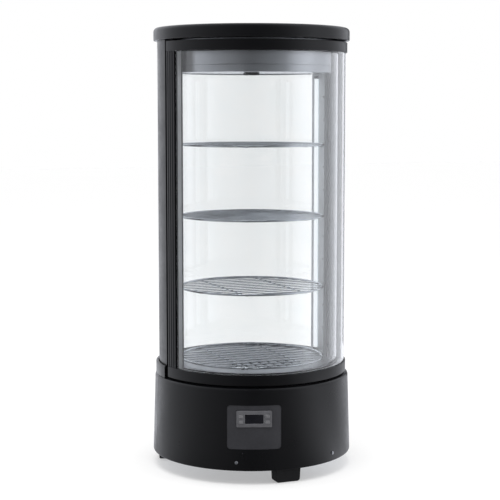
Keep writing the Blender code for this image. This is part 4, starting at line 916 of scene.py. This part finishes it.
# %% Side posts
POST_START = 80.0
POST_END = 105.5
POST_EDGE = 0.0012
LINING = 0.0024
FLANGE_FIT = 0.0005
FLANGE_CORNER = 0.0006

post_low, post_high = heights("right_post")
post_r = front_radius("door_outer_glass")
post_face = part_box("right_post")[0].y
lining_r = side_radius("right_post_lining")
lining_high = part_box("right_post_lining")[1].z
flange_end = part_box("right_post_seal")[0].x - FLANGE_FIT


def post_body(inner, outer, low, high, face, end=POST_END):
    """Make the right post's ring section behind a flat front plane."""
    bm = ring_section(inner, outer, low, high, POST_START, end)
    return slice_at(bm, (0.0, face, 0.0), (0.0, -1.0, 0.0))


for side in SIDES:
    post = post_body(lining_r + SEAT, post_r, post_low, post_high, post_face)
    post = carve(post, rounded_block(
        (lining_r - LINING, post_face - LINING, post_low - LINING),
        (flange_end + SEAT, post_face + LINING + SEAT, post_high + LINING)))
    add_piece(
        f"{side}_post_moulding", on_side(post, side), "black_moulding",
        stands_for=[f"{side}_post"], edge=POST_EDGE)

# %% Linings of the posts
SLOT_BEARING = 89.6
SLOT_WIDTH = 0.008
SLOT_HEIGHT = 0.004
SLOTS_PER_TIER = 3
TIERS = 4
LEDGE_START = 86.2
LEDGE_END = 93.0
LEDGE_REACH = 0.0130
LEDGE_TIP = 0.002
LEDGE_ROOT = 0.0055
LEDGE_CORNER = 0.0008
RIM_WIRE = 0.0025
WIRE = 0.0014
LAMP_DEPTH = 0.005

shelf_z = [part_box(f"shelf_{level}")[1].z - RIM_WIRE for level in range(1, TIERS + 1)]
tier = shelf_z[1] - shelf_z[0]
flange_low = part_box("cabinet_floor")[1].z + SEAT
for side in SIDES:
    inner = lining_r - LINING
    lining = post_body(inner, lining_r, post_low, lining_high, post_face)
    tip = math.sqrt(inner ** 2 - post_face ** 2) - LAMP_DEPTH
    flange = rounded_block(
        (tip, post_face, flange_low), (flange_end, post_face + LINING, lining_high),
        FLANGE_CORNER)
    lining = carve(lining, flange, "UNION")
    slots = []
    for index in range(TIERS * SLOTS_PER_TIER):
        if index % SLOTS_PER_TIER == 0:
            continue
        middle = shelf_z[0] + index * tier / SLOTS_PER_TIER
        slots.append(front_block(
            SLOT_WIDTH, lining_r + LINING, inner - LINING, middle - SLOT_HEIGHT / 2,
            middle + SLOT_HEIGHT / 2, SLOT_HEIGHT / 2 - 2 * WELD, "Y", SLOT_BEARING))
    lining = carve(lining, join(*slots))
    ledges = []
    for middle in shelf_z:
        top = middle - RIM_WIRE - SEAT
        ledges.append(turned([
            (inner - LEDGE_REACH, top - LEDGE_TIP, LEDGE_CORNER),
            (inner + SEAT, top - LEDGE_ROOT), (inner + SEAT, top),
            (inner - LEDGE_REACH, top, LEDGE_CORNER)], LEDGE_START, LEDGE_END))
    add_piece(
        f"{side}_aluminium_lining", on_side(join(lining, *ledges), side), "aluminium",
        stands_for=[f"{side}_post_lining"])

# %% [markdown]
# ## Lamps
# Each post carries an upright lamp that lights the shelves. It is a milky cover with round
# edges, held by a dark cap at each end.

# %% Lamps
LAMP_BEARING = 99.2
LAMP_WIDTH = 0.0120
LAMP_CAP = 0.006
LAMP_FIT = 0.0005
TUBE_CORNER = 0.0018
LAMP_CAP_CORNER = 0.0015
LAMP_CAP_EDGE = 0.0004

lamp_low, lamp_high = heights("right_lamp")
lamp_back = lining_r - LINING - LAMP_FIT
lamp_front = lamp_back - LAMP_DEPTH
for side, bearing in zip(SIDES, (LAMP_BEARING, -LAMP_BEARING)):
    tube = front_block(
        LAMP_WIDTH - 2 * SEAT, lamp_back - SEAT, lamp_front + SEAT, lamp_low + LAMP_CAP / 2,
        lamp_high - LAMP_CAP / 2, TUBE_CORNER, bearing=bearing)
    add_piece(f"{side}_light_tube", tube, "lamp_diffuser", stands_for=[f"{side}_lamp"])
    caps = [
        front_block(
            LAMP_WIDTH, lamp_back, lamp_front, low, low + LAMP_CAP, LAMP_CAP_CORNER,
            bearing=bearing, edge=LAMP_CAP_EDGE)
        for low in (lamp_low, lamp_high - LAMP_CAP)]
    add_piece(f"{side}_light_caps", join(*caps), "dark_plastic")

# %% [markdown]
# ## Seals on the posts
# The door closes against a rubber strip on each post. The strip is a bellows in plan, which
# folds when the door presses on it. Its outline is raised over the whole height of the post.

# %% Seals on the posts
PINCH = 0.0022
LIP_CORNER = 0.0002
FACE_CORNER = 0.0003
LIP_SHARE = 0.15
WAIST_SHARE = 0.4
BULGE_SHARE = 0.3

for side in SIDES:
    low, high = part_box(f"{side}_post_seal")
    back, front = high.y, low.y
    deep = back - front
    pinch = min(PINCH, deep / 3)
    lip = back - deep * LIP_SHARE
    waist = back - deep * WAIST_SHARE
    bulge = front + deep * BULGE_SHARE
    strip = extruded([
        (low.x, back), (low.x, lip, LIP_CORNER), (low.x + pinch, waist),
        (low.x + SEAT, bulge, LIP_CORNER), (low.x + pinch, front, FACE_CORNER),
        (high.x - pinch, front, FACE_CORNER), (high.x - SEAT, bulge, LIP_CORNER),
        (high.x - pinch, waist), (high.x, lip, LIP_CORNER), (high.x, back)], low.z, high.z)
    add_piece(
        f"{side}_bellows_seal", strip, "black_rubber", stands_for=[f"{side}_post_seal"])

# %% [markdown]
# ## Rails of the door and of the rear glass
# A curved rail of one section holds the ends of the two panes in a channel. The section is
# spun with eased edges, and the channel is a second turned shape that is cut out of it. The
# door's rails have a lip outside the glass, and the rear ones are flush with it.

# %% Rails
RAIL_INNER = 0.190
CHANNEL = (0.1932, 0.2138)
CHANNEL_FLOOR = 0.011
CHANNEL_END = 75.2
DOOR_HALF = 82.0
REAR_START = 105.8
RAIL_EDGE = 0.0015
PIN_R = 0.004
HINGE_BEARING = 78.0
HINGE_R = 0.202
OVER = 0.010
RAIL_INNER_EDGE = 0.0008
RAIL_LOW = 0.2165
RAIL_HIGH = 0.9635
PAST = 1.0


def make_rail(outer, low, high, start, end, channel, channel_end, channel_r=CHANNEL[1]):
    """Make a rail with an open channel between two heights, out to a radius."""
    rail = ring_section(
        RAIL_INNER, outer, low, high, start, end, inner_edge=RAIL_INNER_EDGE,
        outer_edge=RAIL_EDGE)
    return carve(rail, ring_section(CHANNEL[0], channel_r, *channel, *channel_end))


door_r = front_radius("door_bottom_rail")
door_ends = (-CHANNEL_END, CHANNEL_END)
rear_ends = (REAR_START - PAST, 360.0 + PAST - REAR_START)
pin_low, bottom_top = heights("door_bottom_rail")
top_bottom, pin_high = heights("door_top_rail")
lower_room = RAIL_LOW + CHANNEL_FLOOR
upper_room = RAIL_HIGH - CHANNEL_FLOOR
for name, solid, low, high, room, pin in (
        ("door_lower_rail", "door_bottom_rail", RAIL_LOW, bottom_top,
         (lower_room, bottom_top + OVER), (pin_low, RAIL_LOW + SKIN)),
        ("door_upper_rail", "door_top_rail", top_bottom, RAIL_HIGH,
         (top_bottom - OVER, upper_room), (RAIL_HIGH - SKIN, pin_high))):
    rail = make_rail(door_r, low, high, -DOOR_HALF, DOOR_HALF, room, door_ends)
    ends = [polar(HINGE_R, HINGE_BEARING, height) for height in pin]
    add_piece(name, join(rail, rod(*ends, PIN_R, HOLE_SIDES)), "black_moulding", "door", [solid])
for name, solid in (
        ("rear_lower_rail", "rear_bottom_rail"), ("rear_upper_rail", "rear_top_rail")):
    low, high = heights(solid)
    room = (lower_room, high + OVER) if low < lower_room else (low - OVER, upper_room)
    rail = make_rail(
        rear_radius(solid), low, high, REAR_START, 360.0 - REAR_START, room, rear_ends,
        door_r + OVER)
    add_piece(name, rail, "black_moulding", stands_for=[solid])

# %% [markdown]
# ## Stiles of the door
# The door's two upright edges are mouldings with three round flutes on the outside for the
# grip, and a slot that takes the edges of the glass. The flutes are cut with thin rods.

# %% Stiles of the door
STILE_START = 73.5
STILE_STEP = 0.5
FLUTES = 3
FLUTE_R = 0.00227
FLUTE_DEPTH = 0.0012
STILE_EDGE = 0.0007
STILE_PROUD = 0.0025
FLUTE_SIDES = 24

stile_low, stile_high = heights("door_hinge_stile")
stile_r = post_r + STILE_PROUD
land = (DOOR_HALF - STILE_START) / (2 * FLUTES + 1)
centre = stile_r - FLUTE_DEPTH + FLUTE_R
for side, node_name in zip(SIDES, ("door_hinge_stile", "door_handle_stile")):
    stile = ring_section(
        RAIL_INNER, stile_r, stile_low, stile_high, STILE_START, DOOR_HALF, STILE_STEP)
    tools = [ring_section(
        *CHANNEL, stile_low - OVER, stile_high + OVER, STILE_START - PAST, CHANNEL_END,
        STILE_STEP)]
    for index in range(FLUTES):
        bearing = STILE_START + land * (2 * index + 1.5)
        tools.append(rod(
            polar(centre, bearing, stile_low - OVER), polar(centre, bearing, stile_high + OVER),
            FLUTE_R, FLUTE_SIDES))
    add_piece(
        f"{side}_fluted_stile", on_side(carve(stile, join(*tools)), side), "black_moulding",
        "door", [node_name], STILE_EDGE)

# %% [markdown]
# ## Double glazing
# The door and the rear each have two curved panes with an aluminium frame between them.
# The edges of float glass are ground, so each pane gets a small arris on its four long edges.
# The panes are true solids with a gap of 12 mm, so light bends in them as it should. Black
# sealant joins the frame to the panes, and a thin bead of it shows along the frame.

# %% Double glazing
PANE = 0.004
ARRIS = 0.0005
GLASS_STEP = 1.2
DOOR_PANE_END = 74.9
SPACER_ANGLE = 2.4
SPACER_HEIGHT = 0.011
SPACER_FIT = 0.0005
BEAD = 0.0016
BEAD_ANGLE = 0.45
BEAD_FIT = 0.00005

glass_low, glass_high = heights("door_outer_glass")
outer_r = front_radius("door_outer_glass")
inner_r = front_radius("door_inner_glass")


def make_pane(radius, start, end):
    """Make a curved pane with a small arris on its long edges."""
    return ring_section(
        radius - PANE, radius, glass_low, glass_high, start, end, GLASS_STEP, 1,
        inner_edge=ARRIS, outer_edge=ARRIS)


def make_frame(inner, outer, start, end, margin, angle):
    """Make a ring section between two radii with its middle cut out."""
    window = ring_section(
        inner - PANE, outer + PANE, glass_low + margin, glass_high - margin, start + angle,
        end - angle)
    return carve(ring_section(inner, outer, glass_low, glass_high, start, end), window)


gap = (inner_r, outer_r - PANE)
bar = (gap[0] + SPACER_FIT, gap[1] - SPACER_FIT)
bead_gaps = (
    (gap[0] + BEAD_FIT, bar[0] - BEAD_FIT), (bar[1] + BEAD_FIT, gap[1] - BEAD_FIT))
glazing = (
    ("door", "door", (-DOOR_PANE_END, DOOR_PANE_END)),
    ("rear", "cabinet", (REAR_START, 360.0 - REAR_START)))
for name, body, ends in glazing:
    sides = ("front", "back") if name == "door" else ("back", "front")
    for radius, side, layer in zip((outer_r, inner_r), sides, ("outer", "inner")):
        add_piece(
            f"{name}_{side}_pane", make_pane(radius, *ends), "clear_glass", body,
            [f"{name}_{layer}_glass"])
for name, body, ends in glazing:
    add_piece(
        f"{name}_spacer_frame", make_frame(*bar, *ends, SPACER_HEIGHT, SPACER_ANGLE),
        "aluminium", body, [f"{name}_spacer"])
    beads = [
        make_frame(*radii, *ends, SPACER_HEIGHT + BEAD, SPACER_ANGLE + BEAD_ANGLE)
        for radii in bead_gaps]
    add_piece(f"{name}_sealant_beads", join(*beads), "black_rubber", body)

# %% [markdown]
# ## Seals of the door's rails
# A curved bulb seal on each rail closes the gap to the steel ring behind it.

# %% Seals of the door's rails
SEAL_BEARINGS = (-80.0, 76.0)
SEAL_LIP = 0.0012
SEAL_RAIL_GAP = 0.0008
SEAL_RING_GAP = 0.0005
SEAL_WAIST_CORNER = 0.0006
SEAL_BULB_CORNER = 0.0008

near = RAIL_INNER - SEAL_RAIL_GAP
far = front_radius("cabinet_floor") + SEAL_RING_GAP
waist = (near + far) / 2
for name, solid in (("lower_bulb_seal", "door_bottom_seal"), ("upper_bulb_seal", "door_top_seal")):
    low, high = heights(solid)
    middle = (low + high) / 2
    add_piece(name, turned([
        (near, low), (near, high), (waist, high - SEAL_LIP, SEAL_WAIST_CORNER),
        (far, middle + SEAL_LIP, SEAL_BULB_CORNER), (far, middle - SEAL_LIP, SEAL_BULB_CORNER),
        (waist, low + SEAL_LIP, SEAL_WAIST_CORNER)], *SEAL_BEARINGS), "seal_grey", "door",
        [solid])

# %% [markdown]
# ## Steel floor
# The floor is a pressed steel pan that fits over the insulated plinth. Its skirt is the
# bright band that shows above the door's lower rail. Seven slots let the air down to
# the fan, and two notches go round the posts.

# %% Steel floor
SHEET = 0.0015
FLOOR_ROUND = 0.002
FLOOR_SLOTS = 7
FLOOR_PITCH = 0.022
FLOOR_SLOT_WIDTH = 0.008
FLOOR_SLOT_ENDS = (-0.120, -0.030)
RUN = 0.0005
ROOM_MARGIN = 0.15

floor_low, floor_high = heights("cabinet_floor")
floor_r = front_radius("cabinet_floor")
pan = turned([
    (0.0, floor_high), (floor_r, floor_high, FLOOR_ROUND), (floor_r, floor_low),
    (floor_r - SHEET, floor_low), (floor_r - SHEET, floor_high - SHEET), (0.0, floor_high - SHEET)])
cuts = []
for index in range(FLOOR_SLOTS):
    x = (index - (FLOOR_SLOTS - 1) / 2) * FLOOR_PITCH
    cuts.append(rounded_block(
        (x - FLOOR_SLOT_WIDTH / 2, FLOOR_SLOT_ENDS[0], floor_high - OVER),
        (x + FLOOR_SLOT_WIDTH / 2, FLOOR_SLOT_ENDS[1], floor_high + OVER),
        FLOOR_SLOT_WIDTH / 2 - 2 * WELD))
for side in SIDES:
    room = post_body(
        lining_r - LINING - RUN, post_r + RUN, floor_low - OVER, floor_high + OVER,
        post_face - RUN, POST_END + ROOM_MARGIN)
    cuts.append(on_side(room, side))
add_piece(
    "steel_floor_pan", carve(pan, join(*cuts)), "brushed_steel", stands_for=["cabinet_floor"])

# %% [markdown]
# ## Valances and sensor pod
# Under the cap a ring of brushed steel hides the top of the shelf room. It is one sheet
# with a pressed line and a flange inwards, in a front and a rear part. In the middle of
# the white ceiling sits the pod of the temperature sensor.

# %% Valances and sensor pod
VALANCE = 0.002
FLANGE = 0.013
LINE_RISE = 0.016
LINE_HALF = 0.0007
LINE_DEPTH = 0.0008
VALANCE_END = 83.815
POD_ROUND = 0.004
POD_EDGE = 0.0012
POD_SLOT = 0.0012
POD_SLOTS = 4
POD_PITCH = 0.004
BAND_CORNER = 0.0012
LINE_CORNER = 0.0003

valance_low, valance_high = heights("front_valance")
valance_r = front_radius("front_valance")
line = valance_low + LINE_RISE
section = [
    (valance_r, valance_low, BAND_CORNER), (valance_r, line - LINE_HALF),
    (valance_r - LINE_DEPTH, line, LINE_CORNER), (valance_r, line + LINE_HALF),
    (valance_r, valance_high), (valance_r - VALANCE, valance_high),
    (valance_r - VALANCE, valance_low + SHEET), (valance_r - FLANGE, valance_low + SHEET),
    (valance_r - FLANGE, valance_low)]
for side, start, end in (
        ("front", -VALANCE_END, VALANCE_END), ("rear", REAR_START, 360.0 - REAR_START)):
    add_piece(
        f"{side}_steel_band", turned(section, start, end), "brushed_steel",
        stands_for=[f"{side}_valance"])
pod_low, pod_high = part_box("sensor_pod")
pod = rounded_block(pod_low, pod_high, POD_ROUND, "Z", POD_EDGE)
slits = []
for index in range(POD_SLOTS):
    y = (index - (POD_SLOTS - 1) / 2) * POD_PITCH
    slits.append(rounded_block(
        (pod_low.x + POD_ROUND, y - POD_SLOT / 2, pod_low.z - POD_SLOT),
        (pod_high.x - POD_ROUND, y + POD_SLOT / 2, pod_low.z + POD_SLOT)))
add_piece("ceiling_pod", carve(pod, join(*slits)), "dark_plastic", stands_for=["sensor_pod"])

# %% [markdown]
# ## Wire shelves
# Four shelves of chromed wire lie on the ledges. A thick wire is bent to a ring,
# eleven thinner ones are welded across it and two more carry them from below.

# %% Wire shelves
SHELF_RING = 0.1635
WIRES = 11
WIRE_MARGIN = 0.026
CROSS_X = 0.070
BITE = 0.0005
RIM_SIDES = 12


def make_shelf(height):
    """Make a ring with wires across it and two more below them."""
    wires = [ring(SHELF_RING, RIM_WIRE, height, RIM_SIDES)]
    for index in range(WIRES):
        y = (SHELF_RING - WIRE_MARGIN) * (2 * index / (WIRES - 1) - 1)
        half = math.sqrt(SHELF_RING ** 2 - y ** 2)
        wires.append(rod((-half, y, height), (half, y, height), WIRE))
    for x in (-CROSS_X, CROSS_X):
        half = math.sqrt(SHELF_RING ** 2 - x ** 2)
        drop = height - 2 * WIRE + BITE
        wires.append(rod((x, -half, drop), (x, half, drop), WIRE))
    return join(*wires)


for level, height in enumerate(shelf_z, 1):
    add_piece(
        f"wire_shelf_{level}", make_shelf(height), "chromed_wire",
        stands_for=[f"shelf_{level}"])

# %% [markdown]
# ## Control panel
# A curved charcoal plate is let into the front wall. It is where a turned band and an
# upright block with round corners meet, so it has the wall's curve and the block's outline.
# The controller stands out of it by 2 mm.

# %% Control panel
PANEL_RECESS = 0.0008
PANEL_PLATE = 0.0025
BEZEL_WIDTH = 0.077
BEZEL_HEIGHT = 0.036
BEZEL_DEPTH = 0.006
BEZEL_PROUD = 0.002
BEZEL_CORNER = 0.003
BEZEL_RISE = 0.0675
BAND_HALF = 20.0
PANEL_EDGE = 0.0004

bezel_z = panel_low - SEAT + BEZEL_RISE
bezel_front = wall_radius(bezel_z) - PANEL_RECESS + BEZEL_PROUD
panel_block = through_wall(
    PANEL_WIDTH - 2 * SEAT, panel_low, panel_high, PANEL_CORNER, PANEL_BEARING)
low_front = wall_radius(panel_low - OVER) - PANEL_RECESS
high_front = wall_radius(panel_high + OVER) - PANEL_RECESS
band = turned([
    (low_front - PANEL_PLATE, panel_low - OVER), (low_front, panel_low - OVER),
    (high_front, panel_high + OVER), (high_front - PANEL_PLATE, panel_high + OVER)],
    PANEL_BEARING - BAND_HALF, PANEL_BEARING + BAND_HALF)
panel = carve(panel_block, band, "INTERSECT")
hole = through_wall(
    BEZEL_WIDTH + 2 * SEAT, bezel_z - BEZEL_HEIGHT / 2 - SEAT, bezel_z + BEZEL_HEIGHT / 2 + SEAT,
    BEZEL_CORNER, PANEL_BEARING)
add_piece(
    "curved_panel", carve(panel, hole), "charcoal", stands_for=["control_panel"],
    edge=PANEL_EDGE)

# %% Controller
CASE_WIDTH = 0.071
CASE_HEIGHT = 0.029
CASE_DEPTH = 0.045
WINDOW_WIDTH = 0.040
WINDOW_HEIGHT = 0.020
WINDOW_POCKET = 0.0025
WINDOW_PLATE = 0.0018
BUTTON_X = 0.0290
BUTTON_Z = 0.0062
BUTTON_WIDTH = 0.009
BUTTON_HEIGHT = 0.007
BUTTON_LENGTH = 0.006
BUTTON_PROUD = 0.001
BUTTON_TRAVEL = 0.0008
BUTTON_CORNER = 0.0015
BUTTON_FIT = 0.0004
BUTTON_EDGE = 0.0006
BEZEL_EDGE = 0.0008
WINDOW_EDGE = 0.0003


def panel_block_at(width, height, near, far, corner, x=0.0, z=0.0, edge=0.0):
    """Make a block behind the front of the controller, at a place across and up it."""
    return turn_to(rounded_block(
        (x - width / 2, near - bezel_front, bezel_z + z - height / 2),
        (x + width / 2, far - bezel_front, bezel_z + z + height / 2), corner, "Y", edge),
        PANEL_BEARING)


frame_block = panel_block_at(
    BEZEL_WIDTH, BEZEL_HEIGHT, 0.0, BEZEL_DEPTH, BEZEL_CORNER, edge=BEZEL_EDGE)
pockets = [panel_block_at(
    WINDOW_WIDTH + 2 * SEAT, WINDOW_HEIGHT + 2 * SEAT, -REACH, WINDOW_POCKET, BUTTON_CORNER)]
button_places = [(sx * BUTTON_X, sz * BUTTON_Z) for sx in (-1, 1) for sz in (1, -1)]
for x, z in button_places:
    pockets.append(panel_block_at(
        BUTTON_WIDTH + 2 * BUTTON_FIT, BUTTON_HEIGHT + 2 * BUTTON_FIT, -REACH,
        BUTTON_LENGTH - BUTTON_PROUD + BUTTON_TRAVEL + RUN, BUTTON_CORNER, x, z))
rear_case = panel_block_at(
    CASE_WIDTH, CASE_HEIGHT, BEZEL_DEPTH + SEAT, CASE_DEPTH, BEZEL_CORNER)
add_piece(
    "controller_frame", join(carve(frame_block, join(*pockets)), rear_case), "bezel_grey",
    stands_for=["controller_housing"])
add_piece("display_window", panel_block_at(
    WINDOW_WIDTH, WINDOW_HEIGHT, WINDOW_POCKET - SEAT - WINDOW_PLATE, WINDOW_POCKET - SEAT,
    BUTTON_CORNER, edge=WINDOW_EDGE), "dark_window", stands_for=["controller_window"])
for number, (x, z) in enumerate(button_places, 1):
    add_piece(f"push_button_{number}", panel_block_at(
        BUTTON_WIDTH, BUTTON_HEIGHT, -BUTTON_PROUD, BUTTON_LENGTH - BUTTON_PROUD,
        BUTTON_CORNER, x, z, BUTTON_EDGE), "button_grey", f"controller_button_{number}",
        [f"controller_button_{number}"])

# %% [markdown]
# ## Feet, cable bush and screws
# The case stands on three rubber blocks. The supply cable's bush is at the back, and pan
# head screws hold the base together. A screw is a turned dome with a cross cut into it.

# %% Feet
FOOT_CORNER = 0.006
FOOT_TAPER = 0.002
FOOT_EDGE = 0.0012
FOOT_BEARINGS = (0.0, 120.0, 240.0)

foot_low, foot_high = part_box("foot_1")
for number, bearing in enumerate(FOOT_BEARINGS, 1):
    foot = rounded_block(foot_low, foot_high)
    lower_verts = [v for v in foot.verts if v.co.z < foot_high.z / 2]
    for vert in lower_verts:
        vert.co.x -= math.copysign(FOOT_TAPER, vert.co.x)
    lower_edges = [
        e for e in foot.edges
        if all(v in lower_verts for v in e.verts)
        and abs(e.verts[0].co.y - e.verts[1].co.y) > WELD]
    round_off(foot, lower_edges, FOOT_CORNER, BLOCK_TURNS)
    add_piece(
        f"rubber_foot_{number}", turn_to(foot, bearing), "black_rubber",
        stands_for=[f"foot_{number}"], edge=FOOT_EDGE)

# %% Cable bush
GLAND_FLANGE_R = 0.011
GLAND_BORE_R = 0.004
GLAND_LENGTH = 0.014
GLAND_NOSE = 0.0045
BORE_CORNER = 0.0005
GLAND_FLANGE_CORNER = 0.001
NOSE_CORNER = 0.0008
BUSH_STEP = 7.5

bush = turned([
    (GLAND_BORE_R, -GLAND_LENGTH, BORE_CORNER), (GLAND_R, -GLAND_LENGTH), (GLAND_R, RUN),
    (GLAND_FLANGE_R, RUN), (GLAND_FLANGE_R, SKIN, GLAND_FLANGE_CORNER),
    (GLAND_R, GLAND_NOSE, NOSE_CORNER), (GLAND_BORE_R, GLAND_NOSE, BORE_CORNER)],
    step=BUSH_STEP)
add_piece(
    "cable_bush", stand_out(bush, GLAND_BEARING, wall_radius(GLAND_Z), GLAND_Z),
    "black_rubber", stands_for=["cable_gland"])

# %% Screws
SCREW_R = 0.0036
SCREW_RISE = 0.0020
SCREW_CROSS = 0.0009
SCREW_DOME = 0.0014
SCREW_STEP = 11.25
CROSS_SHARE = 0.6
SCREW_Z = 0.050
SCREW_BEARINGS = (-30.5, 30.5, -118.0, 118.0, 180.0)
COVER_BEARINGS = (-118.0, 118.0)
COVER_Z = 0.180


def make_screw():
    """Make a pan head with a cross, its seat on the XY plane."""
    head = turned([
        (0.0, -SEAT), (SCREW_R, -SEAT), (SCREW_R, SCREW_RISE, SCREW_DOME),
        (0.0, SCREW_RISE)], step=SCREW_STEP)
    long, short = SCREW_R * CROSS_SHARE, SCREW_CROSS / 2
    bars = [
        rounded_block((-x, -y, SCREW_RISE / 3), (x, y, SCREW_RISE * 2))
        for x, y in ((long, short), (short, long))]
    return carve(head, carve(*bars, "UNION"))


places = [(bearing, SCREW_Z) for bearing in SCREW_BEARINGS]
places += [(bearing, COVER_Z) for bearing in COVER_BEARINGS]
for number, (bearing, height) in enumerate(places, 1):
    add_piece(
        f"base_screw_{number}",
        stand_out(make_screw(), bearing, wall_radius(height), height), "zinc_sheet")

# %% [markdown]
# ## Finishes on the solids that stay
# A solid whose shape is already right keeps it, and only gets a better finish. Its
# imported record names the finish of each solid.

# %% Finishes on the solids that stay
slot_of = {part["node"]: part["material_slot"] for part in frame["record"]["subparts"]}
kept = 0
for name, solid in frame["nodes"].items():
    if solid.hide_render:
        continue
    solid.data.materials.clear()
    solid.data.materials.append(FINISHES[slot_of[name]])
    kept += 1
print("solids that stay:", kept)

# %% [markdown]
# ## Final update
# The dressed case is meant to agree with the box of its solids to a few millimetres;
# here the view layer is brought up to date.

# %% Final update
bpy.context.view_layer.update()
